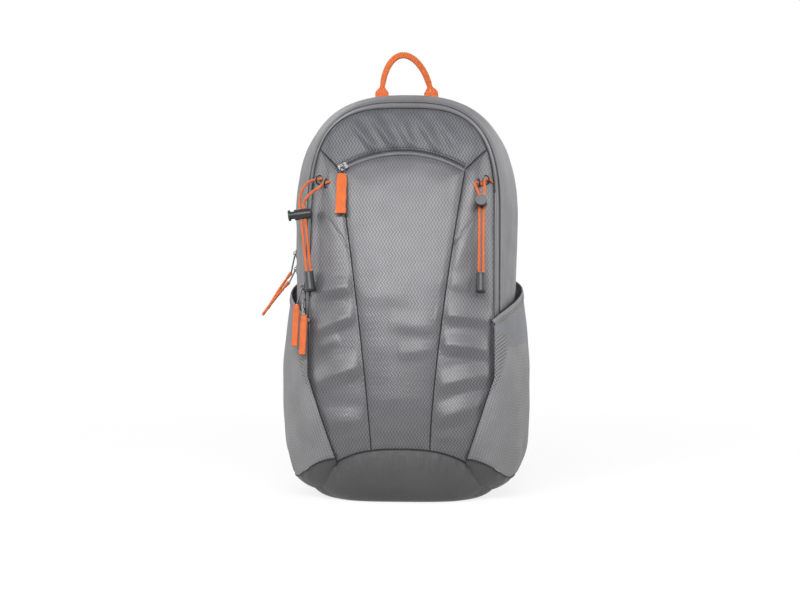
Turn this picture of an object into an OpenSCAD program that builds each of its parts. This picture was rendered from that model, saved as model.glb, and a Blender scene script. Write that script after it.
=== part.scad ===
// A 22 litre hiking daypack: sewn cloth shell, three zips with their sliders and pulls,
// two elastic tool keepers with cord locks, side pockets, haul loop and shoulder harness.
// Millimetres. +Z is up, the front faces -Y and +X is to the right as seen from the front.
// The pack stands on its base at z = 0.

/* [Bag] */
// Height of the rear zip's arch, the top of the shell
bag_h = 475; // [440:1:510]
// Width across the rear zip, the widest seam of the shell
bag_w = 266; // [250:1:290]
// Depth from the back panel to the fullest part of the front
bag_d = 192; // [180:1:205]
// Distance of the back panel behind the origin
back_y = 75; // [65:1:85]
// Height at which the straight side seams turn into the arch
arch_z = 325; // [315:1:335]
// Thickness of the cloth walls with their lining
wall = 2.5; // [1.8:0.1:3]
// Gap left along each seam between two panels
seam_gap = 0.3; // [0.2:0.05:0.5]

/* [Front panel] */
// Width between the two front seams
front_w = 214; // [204:1:220]
// Height of the front seam's arch
front_h = 460; // [450:1:462]
// Width across the main zip
main_zip_w = 227; // [223:1:233]
// Height of the main zip's arch
main_zip_h = 468; // [465:1:470]
// Width of the back panel
back_w = 238; // [226:1:244]
// Height of the back panel
back_h = 466; // [455:1:470]
// How far the front rolls back at its side seams
front_roll = 22; // [16:1:26]
// Lean of the yoke, as depth per height
yoke_lean = 0.36; // [0.3:0.01:0.4]
// Height of the base panel's seam on the centre line
base_seam_h = 65; // [58:1:75]

/* [Zips] */
// Width of a zip's closed chain with its tape
chain_w = 6; // [5:0.1:7]
// Radius of the front pocket's arched zip
arch_zip_r = 134.5; // [132:0.5:137]
// Height of the centre of that arch
arch_zip_z = 282.5; // [280:0.5:285]
// Half angle that the arched zip spans
arch_zip_half = 33; // [30:1:34]
// Width of a slider
slider_w = 8; // [6:0.1:9]
// Length of a slider
slider_l = 11; // [9:0.1:12]
// Clearance between a slider and its chain
slider_gap = 0.8; // [0.7:0.05:1]
// Diameter of a pull's wire
wire_d = 1.5; // [1.2:0.1:1.8]
// Width of a pull's webbing tab
tab_w = 8; // [6:0.1:10]
// Width of the front pull's broader tab
front_tab_w = 12; // [10:0.1:13]
// Thickness of a pull's folded tab
tab_t = 2.8; // [2.4:0.1:3.2]

/* [Side pockets] */
// How far a full pocket reaches from the centre
pocket_reach = 149; // [145:1:155]
// Height of a pocket's hem at the front seam
hem_front_z = 215; // [205:1:218]
// Height of a pocket's hem at the back seam
hem_back_z = 256; // [235:1:262]
// Height of the elastic hem
hem_h = 7; // [5:0.5:10]
// Thickness of a pocket's knit
knit_t = 1.8; // [1.2:0.1:2]

/* [Tool keepers] */
// Diameter of the elastic cord
cord_d = 3.2; // [2.6:0.1:3.4]
// Diameter of a cord lock's barrel
lock_d = 12.6; // [12:0.1:13.4]
// Length of a cord lock's barrel
lock_l = 19; // [18:0.5:22]
// Travel of a cord lock's plunger
plunger_travel = 4; // [3:0.1:4.2]
// Length of a cord end
cord_end_l = 24; // [20:0.5:26]
// Diameter of a cord end at its rim
cord_end_d = 12.4; // [12:0.1:13]

/* [Carrying] */
// Height of the haul loop above the floor
haul_h = 532; // [515:1:545]
// Width between the haul loop's feet
haul_w = 56; // [46:1:66]
// Thickness of the rolled haul loop
haul_d = 8; // [6:0.5:9]
// Thickness of a back pad
pad_t = 11; // [8:0.5:13]
// Width of a shoulder strap at its top
strap_w = 62; // [54:1:66]
// Thickness of a shoulder strap
strap_t = 11; // [8:0.5:13]
// Width of the lower webbing
webbing_w = 25; // [20:1:26]

/* [Hidden] */
$fn = 40;

cloth = [0.47, 0.47, 0.5];
dark_cloth = [0.3, 0.3, 0.32];
knit = [0.52, 0.52, 0.54];
orange = [0.95, 0.38, 0.14];
plastic = [0.22, 0.23, 0.25];
metal = [0.75, 0.75, 0.76];

// The point towards which every wall is drawn in to get its thickness, and the reach to it.
core = [0, back_y - 0.44 * bag_d, 0.485 * bag_h];
core_reach = [bag_w / 2, 0.48 * bag_d, 0.505 * bag_h];

// Heights between which the side seams are straight.
straight_z = 160;
foot_z = 24;

// The seams, from front to back: front seam, main zip, rear zip, back seam.
// Each is an upright arch of its own half width, height, roundness, lean and draw-in at the foot.
seam_half = [front_w / 2, main_zip_w / 2, bag_w / 2, back_w / 2];
seam_top = [front_h, main_zip_h, bag_h, back_h];
seam_round = [3.2, 2.9, 2.5, 2.6];
seam_lean = [-1, -0.5, 5, 3];
seam_foot = [6, 6, 16, 12];
seam_foot_z = [foot_z, foot_z, foot_z - 2, foot_z - 7];

// The front's centre line: vertical at belly_z, leaning back above it, tucked under below it.
belly_z = 130;
yoke_z = 370;
front_y0 = back_y - bag_d;
tuck = 0.0028;
flat_wide = 80;
flat_narrow = 20;
flat_low_z = 200;

function blend(a, b, s) = a + (b - a) * s;
function unit(v) = v / norm(v);
function step01(s) = min(1, max(0, s));
function ease(s) = let (c = step01(s)) c * c * (3 - 2 * c);

function front_line(z) =
    z >= yoke_z ? front_y0 + yoke_lean * (yoke_z - belly_z) / 2 + yoke_lean * (z - yoke_z)
    : z >= belly_z ? front_y0 + yoke_lean * (z - belly_z) * (z - belly_z) / (2 * (yoke_z - belly_z))
    : front_y0 + tuck * (belly_z - z) * (belly_z - z);

// Half width of the flat middle of the front: wide at the yoke, where the arched zip runs.
function flat_half(z) = blend(flat_narrow, flat_wide, step01((z - flat_low_z) / (yoke_z - flat_low_z)));

// Depth of the front face at a point seen from the front.
function front_y(x, z) =
    let (past = max(0, abs(x) - flat_half(z)) / (seam_half[0] - flat_half(z)))
    front_line(z) + front_roll * past * past;

// Half width of a seam's side leg at a height.
function leg_x(k, z) =
    z >= straight_z ? seam_half[k] - seam_lean[k] * (arch_z - z) / (arch_z - straight_z)
    : seam_half[k] - seam_lean[k]
        - seam_foot[k] * pow((straight_z - z) / (straight_z - foot_z + 8), 2.2);

// Depth of a seam at a point. The zips' legs lie in flat, leaning planes over their straight stretch.
main_zip_lean = 0.2;
main_zip_set = 10;
rear_zip_lean = 0.05;
rear_zip_y = back_y - 55;
main_zip_y = front_y(leg_x(0, straight_z), straight_z) + main_zip_set;
function seam_y(k, x, z) =
    k == 0 ? front_y(x, z)
    : k == 1 ? (z >= straight_z ? main_zip_y + main_zip_lean * (z - straight_z)
        : front_y(leg_x(0, z), z) + main_zip_set)
    : k == 2 ? rear_zip_y + rear_zip_lean * (z - straight_z)
    : back_y;

// A point of seam k. t runs from -1 at the left foot over 0 at the top to 1 at the right foot.
function seam(k, t) =
    let (a = abs(t), side = t < 0 ? -1 : 1, turn = 90 * min(1, 2 * a), e = 2 / seam_round[k],
        z = a > 0.5 ? blend(arch_z, seam_foot_z[k], 2 * a - 1)
            : arch_z + (seam_top[k] - arch_z) * pow(cos(turn), e),
        x = a > 0.5 ? leg_x(k, z) : seam_half[k] * pow(sin(turn), e))
    [side * x, seam_y(k, x, z), z];

// A point of a straight zip leg on the left, and that leg's upward direction.
function leg_point(k, z) = [-leg_x(k, z), seam_y(k, leg_x(k, z), z), z];
function leg_up(k) = unit(leg_point(k, arch_z) - leg_point(k, straight_z));

// Cloth walls: a grid of outer points and the same grid drawn in towards the core.
function draw_in(p, t) = [for (i = [0:2]) core[i] + (p[i] - core[i]) * (1 - t / core_reach[i])];
function grid_faces(nu, nv, flip) =
    let (w = nu + 1, n = w * (nv + 1),
        faces = concat(
            [for (j = [0:nv - 1]) for (i = [0:nu - 1]) each
                [[j * w + i, j * w + i + 1, (j + 1) * w + i + 1], [j * w + i, (j + 1) * w + i + 1, (j + 1) * w + i]]],
            [for (j = [0:nv - 1]) for (i = [0:nu - 1]) each
                [[n + j * w + i, n + (j + 1) * w + i + 1, n + j * w + i + 1],
                    [n + j * w + i, n + (j + 1) * w + i, n + (j + 1) * w + i + 1]]],
            [for (i = [0:nu - 1]) each [[i, n + i, n + i + 1], [i, n + i + 1, i + 1]]],
            [for (i = [0:nu - 1]) each let (a = nv * w + i) [[a, a + 1, n + a + 1], [a, n + a + 1, n + a]]],
            [for (j = [0:nv - 1]) each let (a = j * w, b = a + w) [[a, b, n + b], [a, n + b, n + a]]],
            [for (j = [0:nv - 1]) each let (a = j * w + nu, b = a + w) [[a, n + a, n + b], [a, n + b, b]]]))
    flip ? [for (f = faces) [f[0], f[2], f[1]]] : faces;

// A closed sheet between two grids of points with equal rows.
module sheet(outer, inner) {
    nv = len(outer) - 1;
    nu = len(outer[0]) - 1;
    j = floor(nv / 2);
    i = floor(nu / 2);
    away = cross(outer[j][i + 1] - outer[j][i], outer[j + 1][i] - outer[j][i]);
    polyhedron(concat([for (row = outer) each row], [for (row = inner) each row]),
        grid_faces(nu, nv, away * (outer[j][i] - inner[j][i]) > 0), convexity = 8);
}

module cloth_wall(rows, t = wall) {
    sheet(rows, [for (row = rows) [for (p = row) draw_in(p, t)]]);
}

// A patch between four edges given as lists of [x, z], lifted onto the front face and
// held back from the seams around it by the seam gap.
function patch(bottom, top, left, right) =
    let (nu = len(bottom) - 1, nv = len(left) - 1)
    [for (j = [0:nv]) let (v = j / nv) [for (i = [0:nu]) let (u = i / nu)
        blend(bottom[i], top[i], v) + blend(left[j], right[j], u)
            - blend(blend(bottom[0], bottom[nu], u), blend(top[0], top[nu], u), v)]];
function held_back(rows, gap) =
    let (all = [for (row = rows) each row],
        low = [for (i = [0:1]) min([for (p = all) p[i]])],
        high = [for (i = [0:1]) max([for (p = all) p[i]])],
        mid = (low + high) / 2)
    [for (row = rows) [for (p = row) [for (i = [0:1])
        mid[i] + (p[i] - mid[i]) * (1 - 2 * gap / (high[i] - low[i]))]]];
function on_front(rows) = [for (row = rows) [for (p = row) [p[0], front_y(p[0], p[1]), p[1]]]];

// Frame of the flat yoke: its centre of the arched zip, its outward normal and its uphill direction.
yoke_out = unit([0, -1, yoke_lean]);
yoke_up = unit([0, yoke_lean, 1]);
yoke_stretch = norm([yoke_lean, 1]);
yoke_middle = [0, front_line(yoke_z) + yoke_lean * (arch_zip_z - yoke_z), arch_zip_z];

// Seam lines of the front, as [x, z]. The arched zip is a circle in the leaning plane of the yoke.
yoke_turn = 0.362;
function arch_line(r, n, half = arch_zip_half) = [for (i = [0:n]) let (a = blend(-half, half, i / n))
    [r * sin(a), arch_zip_z + r * cos(a) / yoke_stretch]];
function seam_xz(t) = let (p = seam(0, t)) [p[0], p[2]];
function seam_line(t0, t1, n) = [for (i = [0:n]) seam_xz(blend(t0, t1, i / n))];
function straight(a, b, n) = [for (i = [0:n]) blend(a, b, i / n)];
base_seam_x = leg_x(0, foot_z);
function base_seam_z(x) = base_seam_h - (base_seam_h - foot_z) * pow(min(1, abs(x) / base_seam_x), 2.8);

// Right edge of the centre panel: from the zip's end, narrowing towards the base.
centre_foot_x = 34;
centre_draw = 1.35;
arch_end = [arch_zip_r * sin(arch_zip_half), arch_zip_z + arch_zip_r * cos(arch_zip_half) / yoke_stretch];
function centre_edge(v) =
    let (z = blend(base_seam_z(centre_foot_x), arch_end[1], v))
    [blend(centre_foot_x, arch_end[0], pow(v, centre_draw)), z];
centre_steps = 12;
centre_edge_line = [for (j = [0:centre_steps]) centre_edge(j / centre_steps)];
function mirrored(line) = [for (p = line) [-p[0], p[1]]];

tape_half = chain_w / 2 + seam_gap;

// The centre panel stops short of the zip, at the share of its edge that is half a tape inside the arch.
function from_arch(p) = [p[0], (p[1] - arch_zip_z) * yoke_stretch];
function edge_reach(v) = norm(from_arch(centre_edge(v)));
probe = 0.01;
centre_stop = 1 - probe * tape_half / (edge_reach(1) - edge_reach(1 - probe));
centre_corner = from_arch(centre_edge(centre_stop));
centre_side = [for (j = [0:centre_steps]) centre_edge(centre_stop * j / centre_steps)];
centre_top = arch_line(norm(centre_corner), 12, atan2(centre_corner[0], centre_corner[1]));
centre_foot = [for (i = [0:12]) let (x = blend(-centre_foot_x, centre_foot_x, i / 12)) [x, base_seam_z(x)]];
function centre_patch(gap) = held_back(patch(centre_foot, centre_top, mirrored(centre_side), centre_side), gap);

// The yoke's lower edge leans in through its thickness, so it is set off from the zip.
yoke_set = 1.4;
module yoke_panel() {
    bottom = arch_line(arch_zip_r + tape_half + yoke_set, 16);
    top = seam_line(-yoke_turn, yoke_turn, 16);
    color(cloth) cloth_wall(on_front(held_back(
        patch(bottom, top, straight(bottom[0], top[0], 6), straight(bottom[16], top[16], 6)), seam_gap)));
}

module front_centre_panel() { color(cloth) cloth_wall(on_front(centre_patch(seam_gap))); }

module side_front_panel() {
    n = 6;
    foot = [for (i = [0:n]) let (x = blend(centre_foot_x, base_seam_x, i / n)) [x, base_seam_z(x)]];
    outer = [for (j = [0:centre_steps]) seam_xz(blend(1, yoke_turn, j / centre_steps))];
    top = straight(arch_end, outer[centre_steps], n);
    color(cloth) cloth_wall(on_front(held_back(
        patch(foot, top, centre_edge_line, outer), seam_gap)));
}

module left_front_panel() { mirror([1, 0, 0]) side_front_panel(); }
module right_front_panel() { side_front_panel(); }

// The base: a tray that rolls under from the front seam, lies flat, and rolls up to the back seam.
feet = [for (k = [0:3]) seam(k, 1)];
foot_half = [for (p = feet) [p[1], p[0]]];
foot_rise = [for (p = feet) [p[1], p[2]]];
base_front_r = 30;
base_back_r = 14;
base_flat = 0.5;
base_turn_front = 0.4;
base_turn_back = 0.8;
function base_point(u, v) =
    let (x0 = u * base_seam_x, z0 = base_seam_z(x0) - 2 * seam_gap, y0 = front_y(x0, z0),
        front_turn = 90 * min(1, v / base_turn_front),
        back_turn = 90 * max(0, (v - base_turn_back) / (1 - base_turn_back)),
        y = v <= base_turn_front ? y0 + base_front_r * (1 - cos(front_turn))
            : v >= base_turn_back ? back_y - base_back_r * (1 - sin(back_turn))
            : blend(y0 + base_front_r, back_y - base_back_r,
                (v - base_turn_front) / (base_turn_back - base_turn_front)),
        s = max(0, (abs(u) - base_flat) / (1 - base_flat)),
        rim = lookup(y, foot_rise) - 2 * seam_gap,
        low = rim * (1 - pow(1 - pow(s, 2.5), 0.4)),
        z = v <= base_turn_front ? blend(z0, low, sin(front_turn))
            : v >= base_turn_back ? blend(low, feet[3][2] - 2 * seam_gap, 1 - cos(back_turn)) : low)
    [u * lookup(y, foot_half), y, max(low, z)];
base_across = [-1, -0.97, -0.92, -0.84, -0.72, -0.5, -0.25, 0, 0.25, 0.5, 0.72, 0.84, 0.92, 0.97, 1];
module base_panel() {
    along = [for (j = [0:15]) j / 15];
    color(dark_cloth) cloth_wall([for (v = along) [for (u = base_across) base_point(u, v)]]);
}

// Gussets: bands between neighbouring seams, slightly crowned, that run up one side, over the top and down.
band_steps = 36;
gusset_crown = [0.8, 6, 2];
function outwards(k, t) =
    let (p = seam(k, t))
    abs(t) > 0.5 ? [p[0] < 0 ? -1 : 1, 0, 0]
        : unit([p[0] / seam_half[k], 0, (p[2] - arch_z) / (seam_top[k] - arch_z)]);
function band_point(k, t, s) =
    let (a = seam(k, t), b = seam(k + 1, t))
    blend(a, b, s) + gusset_crown[k] * 4 * s * (1 - s) * step01((1 - abs(t)) * 6) * outwards(k, t);
// Share of the band's width at a distance from its front or back seam.
function band_share(k, t, d) = d / norm(seam(k + 1, t) - seam(k, t));
function band(k, from_front, from_back, n) =
    [for (i = [0:band_steps]) let (t = blend(-1, 1, i / band_steps),
        s0 = band_share(k, t, from_front), s1 = 1 - band_share(k, t, from_back))
        [for (j = [0:n]) band_point(k, t, blend(s0, s1, j / n))]];

module front_gusset() { color(cloth) cloth_wall(band(0, seam_gap, tape_half, 3)); }
module middle_gusset() { color(cloth) cloth_wall(band(1, tape_half, tape_half, 5)); }
module rear_gusset() { color(cloth) cloth_wall(band(2, tape_half, seam_gap, 4)); }

// Zip chains: strips that bridge the two gussets beside them.
chain_t = 1.6;
module zip_chain(k) {
    color(plastic) cloth_wall([for (i = [0:band_steps]) let (t = blend(-1, 1, i / band_steps))
        [band_point(k - 1, t, 1 - band_share(k - 1, t, chain_w / 2)), seam(k, t),
            band_point(k, t, band_share(k, t, chain_w / 2))]], chain_t);
}
module main_zip_chain() { zip_chain(1); }
module rear_zip_chain() { zip_chain(2); }

// Places children at a point, with x across, y along and z out.
module seat(p, along, out) {
    a = cross(along, out);
    multmatrix([[a[0], along[0], out[0], p[0]], [a[1], along[1], out[1], p[1]], [a[2], along[2], out[2], p[2]]])
        children();
}

module front_zip_chain() {
    recess = 0.3;
    color(plastic) seat(yoke_middle, yoke_up, yoke_out) rotate([0, 0, 90 - arch_zip_half])
        rotate_extrude(angle = 2 * arch_zip_half) translate([arch_zip_r - chain_w / 2, -recess - chain_t])
            square([chain_w, chain_t]);
}

// Sliders: a plate on the chain with a bridge that the pull's wire runs through.
plate_t = 2.2;
bridge_r = 3.3;
bridge_w = 1.4;
bridge_t = 0.9;
wire_rise = 1.05;
corner = 1.2;
hinge_rise = slider_gap + plate_t + wire_rise;
module rounded_square(w, l, r) {
    square([w - 2 * r, l], center = true);
    square([w, l - 2 * r], center = true);
    for (x = [-1, 1]) for (y = [-1, 1]) translate([x * (w / 2 - r), y * (l / 2 - r)]) circle(r);
}
module zip_slider(turn) {
    translate([0, 0, slider_gap]) linear_extrude(plate_t) rounded_square(slider_w, slider_l, corner);
    rotate([0, 0, turn]) translate([0, 0, slider_gap + plate_t]) intersection() {
        rotate([0, 90, 0]) difference() {
            cylinder(r = bridge_r, h = bridge_w, center = true);
            cylinder(r = bridge_r - bridge_t, h = 2 * bridge_w, center = true);
        }
        translate([0, 0, bridge_r]) cube(2 * bridge_r, center = true);
    }
}

// Pulls: a wire loop through the bridge, and a folded webbing tab that hangs on the loop's lower bend.
// A pull is [reach, turn, lean, tilt, tab length, hang, twist, tab width]: the wire's length, the turn of its
// bridge, its lean in the bridge, its lift off the cloth, and the tab's length, lift, twist and width.
wire_half = 2.2;
loop_w = 2.4;
loop_t = 0.9;
tab_neck = 4;
tab_bore = wire_d / 2 + 0.55;
module along_wire(pull) {
    rotate([0, 0, pull[1]]) rotate([-pull[3], 0, 0]) rotate([0, 0, pull[2]]) translate([0, -wire_half, 0]) children();
}
module wire_of(pull) {
    run = pull[0] - 2 * wire_half;
    color(metal) along_wire(pull) {
        rotate_extrude(angle = 180) translate([wire_half, 0]) circle(wire_d / 2, $fn = 24);
        translate([0, -run, 0]) rotate([0, 0, 180])
            rotate_extrude(angle = 180) translate([wire_half, 0]) circle(wire_d / 2, $fn = 24);
        for (side = [-1, 1]) translate([side * wire_half, 0, 0]) rotate([90, 0, 0])
            cylinder(r = wire_d / 2, h = run, $fn = 24);
    }
}
module at_wire_end(pull) {
    along_wire(pull) translate([0, 2 * wire_half - pull[0], 0]) rotate([0, 0, -pull[1] - pull[2]])
        translate([0, -wire_half, 0]) rotate([pull[3] - pull[5], 0, 0]) children();
}
module tab_of(pull) {
    color(orange) at_wire_end(pull) {
        rotate([0, 90, 0]) linear_extrude(loop_w, center = true) difference() {
            union() {
                circle(tab_bore + loop_t);
                translate([0, -tab_neck / 2]) square([tab_t, tab_neck], center = true);
            }
            circle(tab_bore);
        }
        rotate([0, pull[6], 0]) translate([0, corner - tab_neck - pull[4] / 2, 0])
            linear_extrude(tab_t, center = true) rounded_square(pull[7], pull[4], corner);
    }
}

// Where each slider sits: a point on its chain, the way it travels and the way it faces.
main_out = let (up = leg_up(1)) unit(cross(cross(up, [-0.942, -0.335, 0]), up));
rear_out = let (up = leg_up(2)) unit(cross(cross(up, [-1, -0.01, 0]), up));
main_upper_z = 250;
main_lower_z = 231;
rear_upper_z = 287;
rear_lower_z = 268;
front_start = arch_zip_half - 2;
front_along = cos(front_start) * [1, 0, 0] + sin(front_start) * yoke_up;
front_seat = yoke_middle + arch_zip_r * (cos(front_start) * yoke_up - sin(front_start) * [1, 0, 0]);
module at_front() { seat(front_seat, front_along, yoke_out) children(); }
module at_front_hinge() { seat(front_seat + hinge_rise * yoke_out, yoke_up, yoke_out) children(); }
module at_main(z) { seat(leg_point(1, z), leg_up(1), main_out) children(); }
module at_rear(z) { seat(leg_point(2, z), leg_up(2), rear_out) children(); }
module at_main_hinge(z) { at_main(z) translate([0, 0, hinge_rise]) children(); }
module at_rear_hinge(z) { at_rear(z) translate([0, 0, hinge_rise]) children(); }

// The main zip's pulls hang forwards of their sliders, over the front seam.
front_pull = [12, 0, -5, 6, 45, 3, 0, front_tab_w];
main_upper_pull = [29.5, 30, 0, 19, 44, 4, 50, tab_w];
main_lower_pull = [30, 56, 0, 5, 42, 4, 50, tab_w];
rear_upper_pull = [27, 0, -15, 15, 46, 38, 0, tab_w];
rear_lower_pull = [20, 0, 16, 26, 46, 44, 0, tab_w];

module front_slider() { color(plastic) at_front() zip_slider(90 - front_start); }
module front_pull_wire() { at_front_hinge() wire_of(front_pull); }
module front_pull_tab() { at_front_hinge() tab_of(front_pull); }
module main_upper_slider() { color(plastic) at_main(main_upper_z) zip_slider(main_upper_pull[1]); }
module main_upper_pull_wire() { at_main_hinge(main_upper_z) wire_of(main_upper_pull); }
module main_upper_pull_tab() { at_main_hinge(main_upper_z) tab_of(main_upper_pull); }
module main_lower_slider() { color(plastic) at_main(main_lower_z) zip_slider(main_lower_pull[1]); }
module main_lower_pull_wire() { at_main_hinge(main_lower_z) wire_of(main_lower_pull); }
module main_lower_pull_tab() { at_main_hinge(main_lower_z) tab_of(main_lower_pull); }
module rear_upper_slider() { color(plastic) at_rear(rear_upper_z) zip_slider(rear_upper_pull[1]); }
module rear_upper_pull_wire() { at_rear_hinge(rear_upper_z) wire_of(rear_upper_pull); }
module rear_upper_pull_tab() { at_rear_hinge(rear_upper_z) tab_of(rear_upper_pull); }
module rear_lower_slider() { color(plastic) at_rear(rear_lower_z) zip_slider(rear_lower_pull[1]); }
module rear_lower_pull_wire() { at_rear_hinge(rear_lower_z) wire_of(rear_lower_pull); }
module rear_lower_pull_tab() { at_rear_hinge(rear_lower_z) tab_of(rear_lower_pull); }

// Back panel, its foam, and the two pads the wearer feels.
function outline(k, inset, n) = [for (i = [0:n]) let (p = seam(k, blend(-1, 1, i / n)))
    [p[0] * (1 - inset / seam_half[k]), core[2] + (p[2] - core[2]) * (1 - inset / (seam_top[k] - core[2]))]];
module upright(y, t) { translate([0, y, 0]) rotate([90, 0, 0]) linear_extrude(t) children(); }
panel_inset = wall + seam_gap;
foam_t = 5;
module back_panel() { color(dark_cloth) upright(back_y, wall) polygon(outline(3, panel_inset, 48)); }
module back_foam() {
    color("dimgray") upright(back_y - wall - seam_gap, foam_t) polygon(outline(3, 3 * panel_inset, 48));
}
pad_w = 76;
pad_low = 60;
pad_high = back_h - 62;
pad_x = 48;
module back_pads() {
    color(dark_cloth) for (side = [-1, 1]) translate([side * pad_x, 0, (pad_low + pad_high) / 2])
        upright(back_y + seam_gap + pad_t, pad_t) rounded_square(pad_w, pad_high - pad_low, 18);
}

// Inside: the wall between the two compartments, and the front pocket's lining.
divider_t = 1.2;
module compartment_divider() {
    rows = [for (i = [1:20]) let (t = i / 20) [for (s = [-1, 0, 1])
        let (p = draw_in(seam(2, t), wall + seam_gap)) [s * p[0], p[1], p[2]]]];
    color(dark_cloth) sheet([for (row = rows) [for (p = row) p - [0, divider_t, 0]]], rows);
}
lining_t = 1;
lining_depth = 13;
lining_set = 2;
module front_pocket_lining() {
    rows = on_front(centre_patch(lining_set));
    function sag(i, j) = (1 - pow(2 * i / 12 - 1, 4)) * (1 - pow(2 * j / centre_steps - 1, 4));
    hung = [for (j = [0:centre_steps]) [for (i = [0:12])
        draw_in(rows[j][i], wall + seam_gap + lining_depth * sag(i, j))]];
    color(dark_cloth) cloth_wall(hung, lining_t);
}

// Side pockets: a knit pouch from the front panel round the side to the back seam, tight at its hem,
// full below it and drawn in at the foot. Each level is a cubic curve between its two seams.
pocket_low_front = 52;
pocket_low_back = 25.5;
pocket_cut_z = 149;
pocket_cut = 0.33;
belly_pocket_z = 127;
pocket_off = knit_t + 1.9;
hem_t = knit_t + 0.5;
// Handles of a level's cubic curve where the pocket is full, and how much they slacken towards its hem.
pocket_belly = (pocket_reach - 33) / 0.72;
near_full = pocket_belly - 31;
near_slack = 8;
far_full = pocket_belly + 19;
far_slack = 15;
far_set = 28;
level_share = 0.6;
hem_ease = 14;
function pocket_front_x(z) = leg_x(0, max(z, pocket_cut_z)) - pocket_cut * max(0, pocket_cut_z - z);
function pocket_full(z) = 1 - pow(max(0, z - belly_pocket_z) / (hem_front_z + hem_ease - belly_pocket_z), 2);
// Share of the pocket's fullness near its foot, where it rounds in to the base.
pocket_turn = 0.2;
foot_near = 146;
foot_far = 119;
function pocket_rounding(v) = v >= pocket_turn ? 1 : pow(1 - pow(1 - v / pocket_turn, 2.2), 0.45);
function pocket_tuck(z) = 20 * pow(max(0, belly_pocket_z - z) / belly_pocket_z, 2);
function cubic(a, b, c, d, s) =
    pow(1 - s, 3) * a + 3 * s * pow(1 - s, 2) * b + 3 * s * s * (1 - s) * c + pow(s, 3) * d;
function hem_z(s) = blend(hem_front_z, hem_back_z, s);
function foot_edge(s) = blend(pocket_low_front, pocket_low_back, ease(s / 0.4));
function pocket_point(s, v) =
    let (za = blend(pocket_low_front, hem_front_z, v), zb = blend(pocket_low_back, hem_back_z, v),
        z = blend(foot_edge(s), hem_z(s), v), level = blend(za, zb, level_share), full = max(0, pocket_full(level)),
        xa = pocket_front_x(za), ya = front_y(xa, za) - pocket_off, xb = leg_x(3, zb) + pocket_off + hem_t - knit_t,
        open = pocket_rounding(v),
        near = blend(foot_near, near_full - near_slack * (1 - full), open),
        far = blend(foot_far, far_full - far_slack * (1 - full) - pocket_tuck(level), open))
    [cubic(xa, near, far, xb, s), cubic(ya, ya, back_y - far_set, back_y - pocket_off, s), z];
pocket_across = 10;
pocket_levels = [0, 0.02, 0.05, 0.1, 0.16, 0.26, 0.4, 0.55, 0.7, 0.85, 1];
function pocket_rows(v0, v1, levels) = [for (v = levels) [for (i = [0:pocket_across])
    pocket_point(i / pocket_across, blend(v0, v1, v))]];
hem_share = hem_h / (hem_front_z - pocket_low_front);
module side_pocket() {
    color(knit) cloth_wall(pocket_rows(0, 1 - hem_share - 0.002, pocket_levels), knit_t);
}
module pocket_hem() { color(dark_cloth) cloth_wall(pocket_rows(1 - hem_share, 1, [0, 0.5, 1]), hem_t); }
module left_side_pocket() { mirror([1, 0, 0]) side_pocket(); }
module right_side_pocket() { side_pocket(); }
module left_pocket_hem() { mirror([1, 0, 0]) pocket_hem(); }
module right_pocket_hem() { pocket_hem(); }

// Tool keepers. Black thread loops on the front carry the elastic, seen from the front at [x, z].
loop_places = [[-97, 376], [-88, 372], [88, 372], [97, 376]];
loop_r = 5.2;
loop_d = 1.8;
function front_out(x, z) = let (e = 0.5, dx = (front_y(x + e, z) - front_y(x - e, z)) / (2 * e),
    dz = (front_y(x, z + e) - front_y(x, z - e)) / (2 * e)) unit([dx, -1, dz]);
loop_foot = 0.6;
function on_cloth(place, rise) = [place[0], front_y(place[0], place[1]), place[1]] + rise * front_out(place[0], place[1]);
// Middle of the hole under a loop, where the cord passes.
function loop_hole(i) = on_cloth(loop_places[i], loop_foot + (loop_r - loop_d / 2) / 2);
module keeper_loops() {
    color("black") for (place = loop_places) {
        out = front_out(place[0], place[1]);
        up = unit([0, 0, 1] - out[2] * out);
        a = cross(up, out);
        p = on_cloth(place, loop_foot);
        multmatrix([[up[0], out[0], a[0], p[0]], [up[1], out[1], a[1], p[1]], [up[2], out[2], a[2], p[2]]])
            rotate_extrude(angle = 180) translate([loop_r, 0]) circle(loop_d / 2);
    }
}

// Cords: an eight-sided tube along its route's own points.
cord_sides = 8;
module cord(route) {
    n = len(route) - 1;
    rings = [for (i = [0:n])
        let (d = unit(route[min(n, i + 1)] - route[max(0, i - 1)]), a = unit(cross(d, [0, 1, 0])), b = cross(d, a))
        [for (j = [0:cord_sides - 1]) let (w = 360 * (j + 0.5) / cord_sides)
            route[i] + cord_d / 2 * (cos(w) * a + sin(w) * b)]];
    side_faces = [for (i = [0:n - 1]) for (j = [0:cord_sides - 1])
        let (p = i * cord_sides + j, q = i * cord_sides + (j + 1) % cord_sides) each
        [[p, p + cord_sides, q + cord_sides], [p, q + cord_sides, q]]];
    first = [for (j = [0:cord_sides - 1]) j];
    last = [for (j = [0:cord_sides - 1]) n * cord_sides + cord_sides - 1 - j];
    color(orange) polyhedron([for (ring = rings) each ring], concat(side_faces, [first, last]), convexity = 4);
}
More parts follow.
